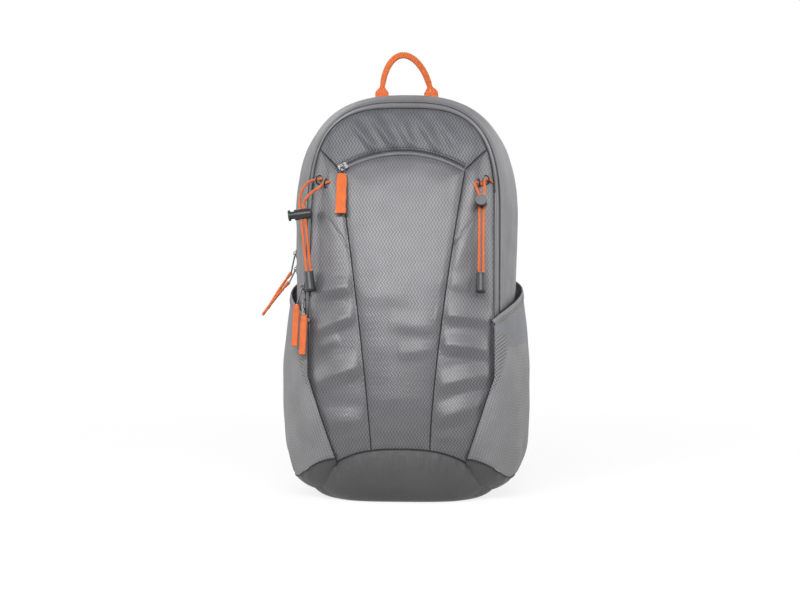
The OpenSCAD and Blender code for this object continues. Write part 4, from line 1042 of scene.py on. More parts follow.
def build_front():
    """Yoke, centre panel and the two side panels of the front."""
    x, z, edge = centre_grid(84, 190)
    p = front_sheet(x, z, edge, 1.2)
    shell_piece("centre_panel_cloth", p, "shell", np.stack([x, z], -1), ["front_centre_panel"])

    s, v = grid(120, 46, -1, 1)
    top = seam(0, YOKE_END * s)
    foot = zip_arch(ZIP_HALF * s, ZIP_R + TAPE)
    x, z = mix(foot[..., 0], top[..., 0], v), mix(foot[..., 2], top[..., 2], v)
    height = np.linalg.norm(top - foot, axis=-1)
    edge = np.minimum(np.minimum(v, 1 - v) * height, (1 - np.abs(s)) * 90)
    p = front_sheet(x, z, edge)
    # The yoke finish carries a painted-shade tone of the shell cloth.
    shell_piece("yoke_cloth", p, "yoke", np.stack([x, z], -1), ["yoke_panel"])

    for side, name in SIDES:
        s, v = grid(52, 190)
        inner = np.stack(centre_seam(v), -1)
        ring = seam(0, mix(1.0, YOKE_END, v))
        outer = np.stack([ring[..., 0], ring[..., 2]], -1)
        q = mix(inner, outer, s[..., None])
        x, z = q[..., 0], q[..., 1]
        hem = base_seam_z(mix(CENTRE_FOOT, BASE_X, s)) - mix(base_seam_z(CENTRE_FOOT), FOOT_Z[0], s)
        z = z + (1 - v) ** 2 * hem
        wide, tall = np.linalg.norm(outer - inner, axis=-1), 330
        edge = np.minimum(np.minimum(s, 1 - s) * wide, np.minimum(v, 1 - v) * tall)
        # Below the pocket's hem the folds fade towards its front edge.
        pocket = np.maximum(0, pocket_edge_x(z) - 1.5 - x)
        free = np.minimum(edge, pocket + 60 * ease((z - 200) / 30))
        p = front_sheet(side * x, z, edge, free=free)
        p[..., 1] += crease(side * x, z, CREASES[name])
        shell_piece(f"{name}_side_panel_cloth", p, "shell", np.stack([side * x, z], -1), [f"{name}_front_panel"])


# Gussets from front to back: name, columns of the grid and size of the cloth's waves.
GUSSETS = (("front", 22, 0.2), ("middle", 64, 1.0), ("rear", 40, 0.6))
# How far a gusset ends before a plain seam.
SEAM_GAP = 0.2


def build_gussets():
    """Front, middle and rear gussets: bands between the seam rings, drawn in at their edges."""
    s = sizes()
    for k, (name, n, wave) in enumerate(GUSSETS):
        t, share = grid(420, n, -1, 1)
        width = np.linalg.norm(seam(k + 1, t) - seam(k, t), axis=-1)
        lo, hi = (TAPE if zipped else SEAM_GAP for zipped in (k > 0, k < 2))
        at = mix(lo / width, 1 - hi / width, share)
        p = band_point(k, t, at)
        edge = np.minimum(share, 1 - share) * width
        run = lengths(seam(k + 1, t[:, :1]), 0)
        soft = wave * ripple(at * width * 1.4, p[..., 2] * 0.8 + 9 * k) * np.clip((1 - np.abs(t)) * 8, 0, 1)
        deep = 1000 * s.seam_depth * (0.5 if k == 0 else 0.8)
        out = 0.8 * soft * (1 - drawn_in(edge, 8)) - deep * drawn_in(edge, 3)
        p = p + out[..., None] * outward(k, t)
        uv = np.stack([at * width, np.broadcast_to(run, t.shape)], -1)
        # The gusset finish is the shell cloth painted lighter, as painted light on the sides.
        shell_piece(f"{name}_gusset_cloth", p, "gusset", uv, [f"{name}_gusset"])


def build_base():
    """Base: smooth cloth from the front seam under the pack to the back, puckered along the front seam."""
    u, v = grid(150, 150, -1, 1)
    v = v ** 1.15
    p = base_point(u, v)
    x = p[..., 0]
    waves = sum(share * np.sin(rate * x + phase) for rate, phase, share in PUCKERS)
    pucker = np.exp(-(v / 0.10) ** 2) * waves * (1 - np.exp(-(v / 0.02) ** 2))
    edge = v * 120
    swell = np.exp(-(v / 0.3) ** 2) * (1 - drawn_in(edge, 6))
    out = 0.55 * pucker + 1.2 * swell - drawn_in(edge, 3)
    out = out * np.clip((1 - np.abs(u)) * 9, 0, 1)
    p = p + out[..., None] * np.array([0, -1.0, 0.15])
    p[..., 2] = np.maximum(p[..., 2], 0.0)
    run = lengths(p, 1)
    shell_piece("base_cloth", p, "base", np.stack([x, run], -1), ["base_panel"], "base_cloth")

    s, v = grid(110, 26)
    p = corner_point(s, v)
    out = 0.6 * np.sin(0.31 * lengths(p, 0)) * np.exp(-(v / 0.3) ** 2) * (1 - np.exp(-(v / 0.06) ** 2))
    p = p + out[..., None] * outer_normals(p)
    uv = np.stack([lengths(p, 0), lengths(p, 1)], -1)
    for side, name in SIDES[::-1]:
        shell_piece(f"{name}_base_corner_cloth", on_side(p, side), "base", uv, [], "base_cloth")


def build_pockets():
    """Side pockets: a full knit pouch with a smooth band and a net corner, and the elastic hem on its edge."""
    s, v = grid(120, 120)
    v = v * HEM_SHARE
    p = pocket_point(s, v)
    edge = np.minimum(np.minimum(s, 1 - s), v) * 190
    folds = (2.2 * np.sin(26 * s + 3) * np.exp(-((v - 0.12) / 0.16) ** 2)
             * ease((s - 0.25) / 0.2) * ease((0.95 - s) / 0.1))
    soft = 0.9 * ripple(s * 150, p[..., 2] * 0.6) + folds
    out = soft * (1 - drawn_in(edge, 14)) - 0.9 * drawn_in(edge, 3)
    p = p + out[..., None] * outer_normals(p)
    uv = np.stack([lengths(p, 0), lengths(p, 1)], -1)
    # 1 on the smooth band and on the net corner, with a narrow change to the knit.
    change = 0.012
    band = ease((v - (0.79 - 0.09 * s)) / change)
    net = ease((0.30 - 0.62 * np.maximum(0, 0.90 - v) - s) / change) * ease((0.90 - 0.12 * s - v) / change)

    t = np.linspace(0, 1, 120)
    a, b = pocket_point(t, 0 * t + HEM_SHARE), pocket_point(t, 0 * t + 1.0)
    tall = np.linalg.norm(b - a, axis=-1)
    hem = carried(mix(a, b, 0.5), b - a, round_profile(20, 1.15, 0.5, 3.5), 1.0, tall)
    for side, name in SIDES[::-1]:
        pouch = shell_piece(f"{name}_pocket_knit", on_side(p, side), "knit", uv, [f"{name}_side_pocket"],
                            "pocket_knit", values={"band": band, "net": net}, thick=0.0012)
        elastic = tube_piece(f"{name}_pocket_hem_elastic", on_side(hem, side), finish("hem"),
                             stands_for=[f"{name}_pocket_hem"], slot="hem_elastic")
        cut_sheet(p)


# ---------------------------------------------------------------- seams, zips and pulls

# Half the width of a seam's thread.
SEAM_THREAD = 0.62


def seam_lines():
    """The sewn seams of the front as paths in millimetres, lying in the draw of the cloth."""
    v = np.linspace(0, 1, 90)
    deep = 1000 * sizes().seam_depth - 0.5
    paths = {}
    for side, name in SIDES:
        x, z = centre_seam(v)
        x = side * x
        paths[f"{name}_centre_seam"] = np.stack([x, front_y(x, z) + deep, z], -1)
        top, foot = seam(0, np.array(side * YOKE_END)), zip_arch(np.array(side * ZIP_HALF), ZIP_R)
        x, z = mix(foot[0], top[0], v), mix(foot[2], top[2], v)
        paths[f"{name}_yoke_seam"] = np.stack([x, front_y(x, z) + deep, z], -1)
        q = pocket_point(0 * v, v * 0.955) + np.array([-0.2, -0.3, 0])
        paths[f"{name}_pocket_seam"] = on_side(q, side)
        q = pocket_point(v, 0 * v) + np.array([-0.2, 0, 0.1])
        paths[f"{name}_pocket_foot_seam"] = on_side(q, side)
    x = np.linspace(-0.745, 0.745, 140) * BASE_X
    z = base_seam_z(x)
    paths["base_seam"] = np.stack([x, front_y(x, z) + deep - 0.1, z - 0.2], -1)
    paths["front_ring_seam"] = seam(0, np.linspace(-0.985, 0.985, 300)) + np.array([0, 0.45, 0])
    return paths


def beside_front_ring(t, off, rise):
    """A line on the front gusset beside the front seam, off by a length and raised, and the way it faces."""
    a, b = seam(0, t), seam(1, t)
    out = outward(0, t)
    return a + off * unit(b - a) + rise * out, out


def build_seams():
    """Seam threads: a fine dark tube in each seam's groove; a welt round the front; and the top stitching."""
    for name, path in seam_lines().items():
        path = smooth_path(path[::2], len(path))
        p = carried(path, path - CORE, round_profile(8, SEAM_THREAD, SEAM_THREAD))
        tube_piece(name, p, finish("thread"), slot="thread")
    path, out = beside_front_ring(np.linspace(-0.46, 0.46, 240), 2.6, 0.3)
    tube_piece("front_welt", carried(path, out, round_profile(10, 1.5, 0.9)), finish("piping"), slot="shell_cloth")
    build_stitches()


# Half sizes of a stitch: along, across and up.
STITCH_HALF = np.array([1.1, 0.32, 0.32])


def build_stitches():
    """Rows of top stitching: small beads along the welt, the yoke's lower edge and the back edges of the pockets."""
    pitch = sizes().stitch * 1000
    shape, faces = bead()
    shape = shape * STITCH_HALF
    rows = [beside_front_ring(np.linspace(-0.95, 0.95, 700), 4.6, 0.55)]
    w = np.linspace(-ZIP_HALF * 0.97, ZIP_HALF * 0.97, 300)
    hem = zip_arch(w, ZIP_R + TAPE + 2.2)
    hem[:, 1] = front_y(hem[:, 0], hem[:, 2]) - 0.1
    rows.append((hem, np.broadcast_to(YOKE_OUT, hem.shape)))
    v = np.linspace(0.03, 0.93, 260)
    out = np.array([0.6, 0.8, 0])
    back = pocket_point(0 * v + 0.987, v) + 0.5 * out
    for side, _ in SIDES[::-1]:
        rows.append((on_side(back, side), np.broadcast_to(on_side(out, side), back.shape)))
    parts = []
    for path, out in rows:
        run = lengths(path, 0)
        at = np.arange(pitch / 2, run[-1], pitch)
        p = sampled(path, run, at)
        parts.append(copies(shape, faces, p, *path_frames(p, sampled(out, run, at))))
    pts, idx = merged(*parts)
    piece("top_stitching", pts, idx, finish("thread"), uv=pts[:, [0, 2]], slot="thread")


# Half sizes of a zip tooth along, across and up, how far it stands to its side and up, and where the teeth end.
TOOTH_HALF, TOOTH_SIDE, TOOTH_UP, TEETH_END = np.array([0.50, 1.35, 0.55]), 0.75, 0.05, 1.5
# Profile of a closed zip's two tapes: across and up.
TAPE_PROFILE = np.array([(-3.3, -0.7), (-2.4, -0.1), (-1.2, 0.0), (-0.5, -0.25),
                         (0.5, -0.25), (1.2, 0.0), (2.4, -0.1), (3.3, -0.7)])


def zip_piece(name, path, out, stands_for, off=0.0):
    """A closed zip: two woven tapes, and interlocked coil teeth repeated along its line, off to one side where a flap
    covers it."""
    _, side, lift = path_frames(path, out)
    pitch = sizes().tooth_pitch * 1000
    run = lengths(path, 0)
    width, high = TAPE_PROFILE.T
    p = path[:, None] + side[:, None] * width[None, :, None] + lift[:, None] * (high[None, :, None] - 0.5)
    uv = np.stack([np.broadcast_to(width, p.shape[:2]), np.broadcast_to(run[:, None], p.shape[:2])], -1)
    flip = float(np.sum(normals(p) * lift[:, None])) < 0
    cloth_piece(f"{name}_tape", p, finish("tape"), uv, flip, thick=0.0006, stands_for=stands_for, slot="zip_chain")
    at = np.arange(TEETH_END, run[-1] - TEETH_END, pitch / 2)
    q = sampled(path, run, at)
    way, across, up = path_frames(q, sampled(lift, run, at))
    hand = np.where(np.arange(len(at)) % 2 == 0, 1.0, -1.0)[:, None]
    shape, faces = bead()
    shape = shape[:, [1, 0, 2]] * TOOTH_HALF
    pts, idx = copies(shape, faces, q + across * (off + TOOTH_SIDE * hand) + up * TOOTH_UP, way, across, up)
    piece(f"{name}_teeth", pts, idx, finish("teeth"), uv=pts[:, [0, 2]], slot="zip_chain")


def build_zips():
    """The three zips: round the main and rear seams, and over the front pocket."""
    t = np.linspace(-0.995, 0.995, 620)
    zip_piece("main_zip", seam(1, t), zip_out(1, t), ["main_zip_chain"])
    zip_piece("rear_zip", seam(2, t), zip_out(2, t), ["rear_zip_chain"])
    a = np.linspace(-ZIP_HALF, ZIP_HALF, 160)
    zip_piece("front_zip", zip_arch(a, ZIP_R), np.broadcast_to(YOKE_OUT, (160, 3)), ["front_zip_chain"], -1.7)


def zip_out(k, t):
    """The way a zip on seam ring k faces: square to the ring and to the mean run of its two gussets."""
    along = np.gradient(seam(k, t), axis=0)
    across = seam(k + 1, t) - seam(k - 1, t)
    n = np.cross(along, across)
    return unit(n * np.sign(np.sum(n * outward(k, t), -1, keepdims=True)))


# Pull tabs: the way each hangs, and how far its end curls along its width and its thickness.
PULLS = {"front": ((0, 0, -1), (0.0, 0.5)), "main_upper": ((0, 0, -1), (0.3, 0.9)),
         "main_lower": ((0, 0, -1), (0.6, 1.6)), "rear_upper": ((-0.6, 0, -0.8), (0, -3.0)),
         "rear_lower": ((-0.6, 0, -0.8), (0, -3.0))}


def tab_axes(node, down):
    """Middle, length, width and thickness directions of a pull tab's solid, from the spread of its corners, and its
    half sizes along them; its length points down."""
    co = np.unique(np.round(points_of(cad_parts[node].data), 3), axis=0)
    centre = co.mean(0)
    _, axes = np.linalg.eigh(np.cov((co - centre).T))
    thick, wide, long = axes.T
    long = long * np.sign(long @ np.array(down))
    if abs(thick[1]) > 0.3:
        thick = -thick * np.sign(thick[1])
    ways = np.stack([long, wide, thick])
    spread = (co - centre) @ ways.T
    middle = centre + (spread.max(0) + spread.min(0)) / 2 @ ways
    return middle, ways, np.ptp(spread, axis=0) / 2


def build_pulls():
    """Pull tabs: a folded webbing strip along each tab's solid, pinched at its wire, with a stitched bar and a curl."""
    for name, (down, curl) in PULLS.items():
        node = f"{name}_pull_tab"
        middle, (long, wide, thick), (hl, hw, ht) = tab_axes(node, down)
        t = np.linspace(-1, 1, 46)
        bend = (t + 1) ** 2 / 4
        path = (middle + t[:, None] * hl * long + (curl[0] * bend)[:, None] * wide
                + (curl[1] * (bend - 0.35))[:, None] * thick)
        broad = hw * (1 - 0.16 * np.exp(-((t + 1) / 0.16) ** 2)) * (1 + 0.03 * np.sin(9 * t))
        fat = ht * (0.70 + 0.22 * np.exp(-((t + 1) / 0.2) ** 2) - 0.30 * np.exp(-((t + 0.62) / 0.05) ** 2))
        ring = round_profile(28, 1.0, 1.0, 4.0)
        p = carried(path, thick, ring, broad, fat)
        tube_piece(f"{node}_webbing", p, finish("accent"), body=f"{name}_pull", stands_for=[node], slot="pull_tab")


# Finishes of the hard parts, by the ends of their nodes' names.
FITTINGS = {"slider": ("_slider",), "wire": ("_pull_wire", "_lock_spring"),
            "plastic": ("_lock_barrel", "_lock_plunger", "_cord_end", "_ladder_lock")}


def build_fittings():
    """Finishes of the hard parts that keep their solids: sliders, wires, cord locks, cord ends and strap adjusters."""
    for node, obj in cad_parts.items():
        for kind, endings in FITTINGS.items():
            if node.endswith(endings):
                obj.data.materials.clear()
                obj.data.materials.append(finish(kind))


def front_out(x, z):
    """The way the front faces at a place."""
    dx = front_y(x + 0.5, z) - front_y(x - 0.5, z)
    dz = front_y(x, z + 0.5) - front_y(x, z - 0.5)
    return unit(np.array([float(dx), -1.0, float(dz)]))


# Places of the thread loops in x and z, their radius, half their thread, and how deep their feet go.
LOOPS = ((-97, 376), (-88, 372), (88, 372), (97, 376))
LOOP_R, LOOP_THREAD, LOOP_FOOT = 5.2, 0.82, 2.5


def build_loops():
    """Thread loops that hold the cords: a dark half ring of twisted thread, sunk at both feet into the front cloth."""
    a = np.linspace(0, np.pi, 44)
    for i, (x, z) in enumerate(LOOPS):
        out = front_out(x, z)
        up = unit(np.array([0, 0, 1.0]) - out[2] * out)
        foot = np.array([x, float(front_y(x, z)), z]) + 0.6 * out
        ring = foot + LOOP_R * (np.cos(a)[:, None] * up + np.sin(a)[:, None] * out)
        path = smooth_path(np.vstack([ring[:1] - LOOP_FOOT * out, ring, ring[-1:] - LOOP_FOOT * out]), 60)
        w = np.linspace(0, 2 * np.pi, 10, endpoint=False)
        twist = 1 + 0.10 * np.cos(3 * w[None, :] + 0.8 * np.arange(60)[:, None])
        p = carried(path, np.cross(up, out), round_profile(10, LOOP_THREAD, LOOP_THREAD))
        p = path[:, None] + (p - path[:, None]) * twist[..., None]
        tube_piece(f"thread_loop_{i + 1}", p, finish("thread"), stands_for=["keeper_loops"], slot="thread")


# Haul loop: its depth and hinge height, the rise of its arch, how deep its feet reach and where they start to flare,
# as a share of its length.
HAUL_Y, HAUL_Z, HAUL_RISE, HAUL_FOOT_Z, HAUL_FLARE = 69.0, 472.9, 55.2, 461.0, 0.182
# Its middle and half width, how much narrower and how far to the left its top is, and where its two feet end.
HAUL_X, HAUL_HALF, HAUL_NARROW, HAUL_LEFT, HAUL_FEET = -3.0, 30.5, 0.16, 4.4, (-34.5, 28.5)


def build_haul():
    """Haul loop: a rolled webbing tube over its arch, flaring into a flat sewn foot at each end."""
    a = np.linspace(0, np.pi, 41)
    sn = np.maximum(np.sin(a), 0)
    path = np.stack([-HAUL_HALF * np.cos(a) * (1 - HAUL_NARROW * sn) - HAUL_LEFT * sn + HAUL_X, HAUL_Y + 0 * a,
                     HAUL_Z + HAUL_RISE * sn ** 0.75], -1)
    foot = np.array([[x, HAUL_Y, HAUL_FOOT_Z] for x in HAUL_FEET])
    path = smooth_path(np.vstack([foot[:1], path, foot[1:]]), 130)
    t = np.linspace(0, 1, 130)
    near = np.minimum(t, 1 - t)
    roll = mix(2.8, 3.6, np.sin(np.pi * t) ** 0.5) + 0.5 * t
    flare = ease((HAUL_FLARE - near) / 0.052)
    wide = roll + 4.9 * flare - 0.5 * np.exp(-((near - HAUL_FLARE - 0.005) / 0.02) ** 2)
    thick = roll * 0.95 + 0.8 * flare
    p = carried(path, (0, -1.0, 0), round_profile(24, 1, 1, 2.4), wide, thick)
    groove = 0.5 * np.exp(-((np.arange(24) - 6) / 1.6) ** 2)
    p[..., 1] += groove[None, :] * ease(near / 0.1)[:, None]
    loop = tube_piece("haul_loop_webbing", p, finish("accent"), body=None, stands_for=["haul_loop"],
                      slot="haul_webbing")
    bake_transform(loop)


# ---------------------------------------------------------------- back, straps and inside

def pad_rings(outline, middle, high, n, power):
    """A padded form: n rings that grow from its middle to its outline, raised to the back by the root of 1 less a
    power of their size, and 8 flat ones that shrink again."""
    r = np.concatenate([np.linspace(0.02, 1, n), np.linspace(1, 0.02, 8)])
    lift = np.concatenate([high * (1 - np.linspace(0.02, 1, n) ** power) ** 0.5, np.zeros(8)])
    return middle + (outline - middle) * r[:, None, None] + np.array([0, 1.0, 0]) * lift[:, None, None]


# Back pads: depth of their flat side, their middle and half sizes in x and z, and the heights of their channels.
PAD_Y, PAD_X, PAD_Z = 75.4, 48.0, 232.0
PAD_HALF = (38.0, 172.0)
PAD_CHANNELS = (118, 175, 232, 289, 346)
# How high they are crowned before they are swelled, how high they may end, and the frames that the swelling takes.
PAD_CROWN, PAD_HIGH, PAD_FRAMES = 7.6, 10.8, 20
# Foam sheet: its depth and thickness.
FOAM_Y, FOAM_THICK = 67.3, 4.8


def channel_depth(p):
    """How near points are to a pad's sewn channels, from 1 on a channel to 0."""
    return sum(np.exp(-((p[..., 2] - z) / 3.5) ** 2) for z in PAD_CHANNELS)


def pad_sewn(p):
    """True for a pad's points that are sewn down: its channels on the outer face, and its rim on the back panel."""
    return (channel_depth(p) > 0.6) & (p[..., 1] > PAD_Y + 1.6) | (p[..., 1] < PAD_Y + 0.5)


def swollen(name, p, voxel=4.5, pressure=4.0, cap=6.0):
    """A pad's form blown up as cloth: remeshed evenly, swelled by inner pressure without gravity while its sewn
    points are held, and moved by the cap at most. Gives its points in millimetres and its faces."""
    form = tube_piece(name, p, finish("air mesh"))
    even = form.modifiers.new("even", "REMESH")
    even.mode, even.voxel_size = "VOXEL", voxel * 0.001
    mesh = bpy.data.meshes.new_from_object(form.evaluated_get(bpy.context.evaluated_depsgraph_get()))
    body = bpy.data.objects.new(f"{name}_cloth", mesh)
    bpy.context.collection.objects.link(body)
    start = points_of(mesh)
    sewn = body.vertex_groups.new(name="sewn")
    sewn.add(np.flatnonzero(pad_sewn(start)).tolist(), 1.0, "REPLACE")
    cloth = body.modifiers.new("cloth", "CLOTH")
    cloth.settings.quality = 6
    cloth.settings.tension_stiffness = cloth.settings.compression_stiffness = 2.0
    cloth.settings.shear_stiffness = 1.0
    cloth.settings.bending_stiffness = 0.02
    cloth.settings.use_pressure = True
    cloth.settings.uniform_pressure_force = pressure
    cloth.settings.vertex_group_mass = "sewn"
    cloth.settings.effector_weights.gravity = 0.0
    for step in range(1, PAD_FRAMES + 1):
        bpy.context.scene.frame_set(step)
    moved = points_of(body.evaluated_get(bpy.context.evaluated_depsgraph_get()).data)
    bpy.context.scene.frame_set(1)
    way = moved - start
    far = np.linalg.norm(way, axis=-1, keepdims=True)
    pts = start + way * np.minimum(1, cap / np.maximum(far, 1e-6))
    quads = np.empty(len(mesh.polygons) * 4, np.int32)
    mesh.polygons.foreach_get("vertices", quads)
    for obj in (body, form):
        bpy.data.objects.remove(obj)
    return pts, quads.reshape(-1, 4)


def points_of(mesh):
    """A mesh's points in millimetres."""
    co = np.empty(len(mesh.vertices) * 3, np.float32)
    mesh.vertices.foreach_get("co", co)
    return co.reshape(-1, 3).astype(float) * 1000


def build_back():
    """Back panel of air mesh and its two pads with sewn channels, then what lies inside."""
    t, r = grid(150, 110)
    ring = seam(3, t)
    x = (2 * r - 1) * (ring[..., 0] - 1.5)
    z = ring[..., 2] - (1 - t)
    edge = np.minimum((1 - np.abs(2 * r - 1)) * ring[..., 0], TOP[3] - z)
    p = np.stack([x, BACK_Y - 1.2 * drawn_in(edge, 5), z], -1)
    shell_piece("back_panel_mesh", p, "air mesh", np.stack([x, z], -1), ["back_panel"], "back_mesh")

    w = np.linspace(0, 2 * np.pi, 4001)
    c, s = np.cos(w), np.sin(w)
    rim = np.stack([PAD_HALF[0] * np.sign(c) * np.abs(c) ** 0.5, 0 * w,
                    PAD_HALF[1] * np.sign(s) * np.abs(s) ** 0.32], -1)
    run = lengths(rim, 0)
    rim = sampled(rim, run, np.linspace(0, run[-1], 240, endpoint=False))
    for side, name in SIDES:
        centre = np.array([PAD_X * side, PAD_Y, PAD_Z])
        p = pad_rings(centre + rim, centre + rim * np.array([0, 0, 0.86]), PAD_CROWN, 30, 4.0)
        p[..., 1] -= 3.4 * channel_depth(p) * np.clip((p[..., 1] - 76) / 5, 0, 1)
        pts, faces = swollen(f"{name}_pad_form", p)
        pts[:, 1] = np.clip(pts[:, 1], PAD_Y, PAD_Y + PAD_HIGH)
        pad = piece(f"{name}_back_pad", pts, faces, finish("air mesh"), stands_for=["back_pads"], slot="back_mesh",
                    uv=pts[:, [0, 2]])
        smoother = pad.modifiers.new("round", "SUBSURF")
        smoother.levels = smoother.render_levels = 1
    build_inside()


def build_inside():
    """Foam sheet, the wall between the compartments and the lining of the front pocket."""
    t = np.linspace(-1, 1, 200)
    outline = seam(3, t) * np.array([0.925, 0, 0.975]) + np.array([0, FOAM_Y, 3.5])
    middle = outline * np.array([0, 1, 1])
    p = pad_rings(outline, middle, FOAM_THICK, 10, 30.0)
    tube_piece("foam_sheet", p, finish("foam"), stands_for=["back_foam"], slot="foam")

    t, r = grid(110, 60)
    ring = seam(2, t)
    x = (2 * r - 1) * ring[..., 0] * 0.978
    z = ring[..., 2] * 0.985 + 2.5
    y = seam_y(2, x, z) - 1.0 + 1.5 * ripple(x * 0.6, z * 0.6)
    p = np.stack([x, y, z], -1)
    wall = cloth_piece("divider_cloth", p, finish("lining"), p[..., [0, 2]], thick=0.0008,
                       stands_for=["compartment_divider"], slot="lining")
    cut_sheet(p, size=(0.001 * np.ptp(x), 0.001 * np.ptp(z)))
    x, z, edge = centre_grid(60, 110, 4.0)
    y = front_y(x, z) + 3.2 + 10.5 * (1 - drawn_in(edge, 26))
    p = np.stack([x, y, z], -1)
    lining = cloth_piece("front_pocket_lining_cloth", p, finish("lining"), p[..., [0, 2]], thick=0.0006,
                         stands_for=["front_pocket_lining"], slot="lining")
    cut_sheet(p)


# Shoulder straps: their top and bottom heights, and the two ends of the webbing below the right one.
STRAP_TOP, STRAP_FOOT = 444.0, 196.0
# Their place in x and half width at the top and at the bottom, half thickness, and the height and turn of their bow.
STRAP_X, STRAP_HALF, STRAP_THICK, STRAP_BOW, STRAP_TURN = (48.0, 92.0), (30.6, 19.6), 5.4, 34.0, 144.0
WEB_LOW, WEB_HIGH = np.array([126.0, 79.4, 126.0]), np.array([92.0, 101.6, 173.0])
# Its sag, half sizes, and broad direction at its lower and at its upper end.
WEB_SAG, WEB_HALF = 8.0, (11.0, 0.7)
WEB_BROAD = np.array([0.81, 0, 0.585]), np.array([1.0, 0, 0])
# Anchor patches: middle in x and z, and half sizes.
ANCHOR, ANCHOR_HALF = (124.0, 122.0), (17.8, 23.8)


def build_straps():
    """Shoulder straps: padded bands on their curve with bound edges, webbing below and sewn anchors."""
    s = np.linspace(0, 1, 150)
    flat = np.array([1.0, 0, 0])
    for side, name in SIDES:
        y = PAD_Y + STRAP_BOW * np.sin(np.radians(STRAP_TURN * s)) + 5.5
        path = np.stack([side * mix(*STRAP_X, ease(s)), y, mix(STRAP_TOP, STRAP_FOOT, s)], -1)
        half = mix(*STRAP_HALF, ease(s))
        end = np.minimum(s, 1 - s)
        thick = STRAP_THICK * (0.42 + 0.58 * ease(end / 0.07)) * (1 - 0.10 * np.exp(-((s - 0.5) / 0.012) ** 2))
        profile = round_profile(44, 1, 1, 3.4)
        profile[:, 1] *= 1 - 0.16 * np.exp(-(profile[:, 0] / 0.06) ** 2)
        lift = np.cross(flat, unit(np.gradient(path, axis=0)))
        lift = lift * np.sign(lift[:, 1:2])
        p = (path[:, None] + flat * profile[None, :, :1] * half[:, None, None]
             + lift[:, None] * profile[None, :, 1:] * thick[:, None, None])
        p[..., 2] = np.clip(p[..., 2], STRAP_FOOT, STRAP_TOP)
        strap = tube_piece(f"{name}_strap_pad", p, finish("strap"), body=f"{name}_strap",
                           stands_for=[f"{name}_shoulder_strap"], slot="strap_cloth")
        build_webbing(side, name)

    rim = round_profile(80, *ANCHOR_HALF, 2 / 0.3)
    rim = np.stack([rim[:, 0], 0 * rim[:, 0], rim[:, 1]], -1)
    for side, name in SIDES:
        centre = np.array([side * ANCHOR[0], 75.5, ANCHOR[1]])
        p = pad_rings(centre + rim, centre + rim * np.array([0, 0, 0.3]), 2.8, 16, 8.0)
        tube_piece(f"{name}_strap_anchor_patch", p, finish("webbing"), stands_for=["strap_anchors"], slot="webbing")


def build_webbing(side, name):
    """Webbing from an anchor to its ladder lock, slack and turning on the way, made as a lower and an upper strip."""
    t = np.linspace(0, 1, 41)[:, None]
    run = mix(WEB_LOW, WEB_HIGH, t) - np.array([0, WEB_SAG, 0]) * t * (1 - t)
    broad = unit(mix(*WEB_BROAD, ease(t)))
    face = unit(np.cross(np.gradient(run, axis=0), broad))
    face = face * np.sign(face[:, 1:2])
    ring = round_profile(20, *WEB_HALF, 5.0)
    p = on_side(run[:, None] + broad[:, None] * ring[None, :, :1] + face[:, None] * ring[None, :, 1:], side)
    run = on_side(run, side) * 0.001
    for part, rows, low, high in (("lower", slice(0, 23), "bag", f"{name}_strap"),
                                  ("upper", slice(22, 41), f"{name}_strap", f"{name}_ladder")):
        web = tube_piece(f"{name}_{part}_webbing_strip", p[rows], finish("webbing"), body=None,
                         stands_for=[f"{name}_lower_webbing"], slot="webbing")
        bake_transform(web)


# ---------------------------------------------------------------- operators and panel

class DAYPACK_OT_stage(bpy.types.Operator):
    """Floor, lamps, world and camera"""
    bl_idname = "daypack.stage"
    bl_label = "Stage"

    def execute(self, context):
        build_stage()
        return {"FINISHED"}


class DAYPACK_OT_cords(bpy.types.Operator):
    """The four elastic strands at the sides"""
    bl_idname = "daypack.cords"
    bl_label = "Elastic cords"

    def execute(self, context):
        build_cords()
        return {"FINISHED"}


class DAYPACK_OT_front(bpy.types.Operator):
    """Yoke, centre panel and side panels"""
    bl_idname = "daypack.front"
    bl_label = "Front panels"

    def execute(self, context):
        build_front()
        return {"FINISHED"}


class DAYPACK_OT_gussets(bpy.types.Operator):
    """The three bands round the pack"""
    bl_idname = "daypack.gussets"
    bl_label = "Gussets"

    def execute(self, context):
        build_gussets()
        return {"FINISHED"}


class DAYPACK_OT_base(bpy.types.Operator):
    """The smooth base cloth"""
    bl_idname = "daypack.base"
    bl_label = "Base"

    def execute(self, context):
        build_base()
        return {"FINISHED"}


class DAYPACK_OT_pockets(bpy.types.Operator):
    """Knit pouches and their hems"""
    bl_idname = "daypack.pockets"
    bl_label = "Side pockets"

    def execute(self, context):
        build_pockets()
        return {"FINISHED"}


class DAYPACK_OT_zips(bpy.types.Operator):
    """Tapes and teeth of the three zips"""
    bl_idname = "daypack.zips"
    bl_label = "Zips"

    def execute(self, context):
        build_zips()
        return {"FINISHED"}


class DAYPACK_OT_seams(bpy.types.Operator):
    """Seam threads, welt and top stitching"""
    bl_idname = "daypack.seams"
    bl_label = "Seams"

    def execute(self, context):
        build_seams()
        return {"FINISHED"}


class DAYPACK_OT_pulls(bpy.types.Operator):
    """The five orange pull tabs"""
    bl_idname = "daypack.pulls"
    bl_label = "Pull tabs"

    def execute(self, context):
        build_pulls()
        return {"FINISHED"}


class DAYPACK_OT_loops(bpy.types.Operator):
    """The loops that hold the cords"""
    bl_idname = "daypack.loops"
    bl_label = "Thread loops"

    def execute(self, context):
        build_loops()
        return {"FINISHED"}


class DAYPACK_OT_haul(bpy.types.Operator):
    """The orange loop on top"""
    bl_idname = "daypack.haul"
    bl_label = "Haul loop"

    def execute(self, context):
        build_haul()
        return {"FINISHED"}


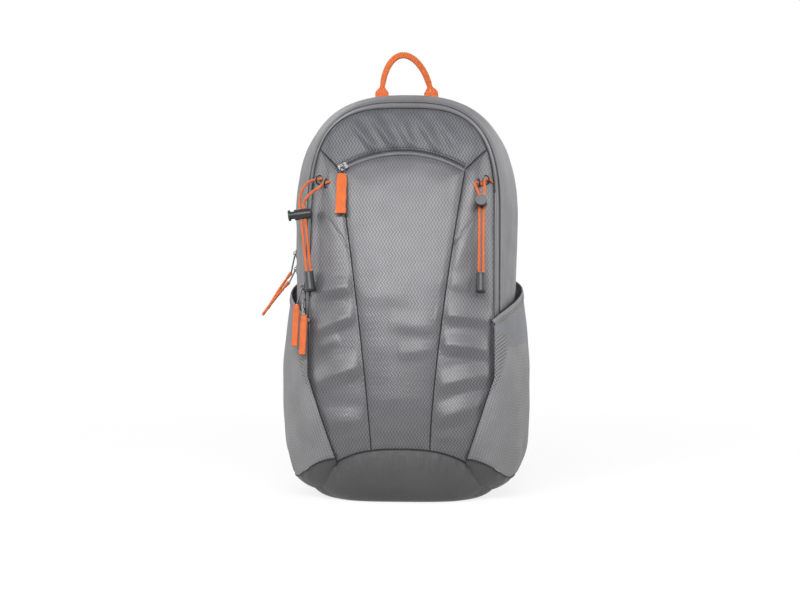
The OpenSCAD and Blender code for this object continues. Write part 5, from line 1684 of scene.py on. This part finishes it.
class DAYPACK_OT_back(bpy.types.Operator):
    """Back panel, pads, foam, divider and lining"""
    bl_idname = "daypack.back"
    bl_label = "Back"

    def execute(self, context):
        build_back()
        return {"FINISHED"}


class DAYPACK_OT_straps(bpy.types.Operator):
    """Shoulder straps, webbing and anchors"""
    bl_idname = "daypack.straps"
    bl_label = "Straps"

    def execute(self, context):
        build_straps()
        return {"FINISHED"}


class DAYPACK_OT_fittings(bpy.types.Operator):
    """Finishes of the hard parts"""
    bl_idname = "daypack.fittings"
    bl_label = "Fittings"

    def execute(self, context):
        build_fittings()
        return {"FINISHED"}


OPERATORS = (DAYPACK_OT_stage, DAYPACK_OT_cords, DAYPACK_OT_front, DAYPACK_OT_gussets,
             DAYPACK_OT_base, DAYPACK_OT_pockets, DAYPACK_OT_zips, DAYPACK_OT_seams,
             DAYPACK_OT_pulls, DAYPACK_OT_loops, DAYPACK_OT_haul, DAYPACK_OT_back,
             DAYPACK_OT_straps, DAYPACK_OT_fittings)


class DAYPACK_PT_panel(bpy.types.Panel):
    """Settings and building steps of the daypack."""
    bl_label = "Daypack"
    bl_space_type = "VIEW_3D"
    bl_region_type = "UI"
    bl_category = "Daypack"

    def draw(self, context):
        for group in (context.scene.daypack_sizes, context.scene.daypack_colours):
            for key in group.__annotations__:
                self.layout.prop(group, key)
        for step in OPERATORS:
            self.layout.operator(step.bl_idname)


CLASSES = (DaypackSizes, DaypackColours, *OPERATORS, DAYPACK_PT_panel)


def register():
    """Adds the settings, operators and panel."""
    for cls in CLASSES:
        bpy.utils.register_class(cls)
    bpy.types.Scene.daypack_sizes = bpy.props.PointerProperty(type=DaypackSizes)
    bpy.types.Scene.daypack_colours = bpy.props.PointerProperty(type=DaypackColours)


def unregister():
    """Takes them away again."""
    del bpy.types.Scene.daypack_colours
    del bpy.types.Scene.daypack_sizes
    for cls in reversed(CLASSES):
        bpy.utils.unregister_class(cls)


def main():
    """Registers and runs every step in order."""
    register()
    for step in OPERATORS:
        getattr(bpy.ops.daypack, step.bl_idname.split(".")[1])()
    bpy.context.view_layer.update()


if __name__ == "__main__":
    main()
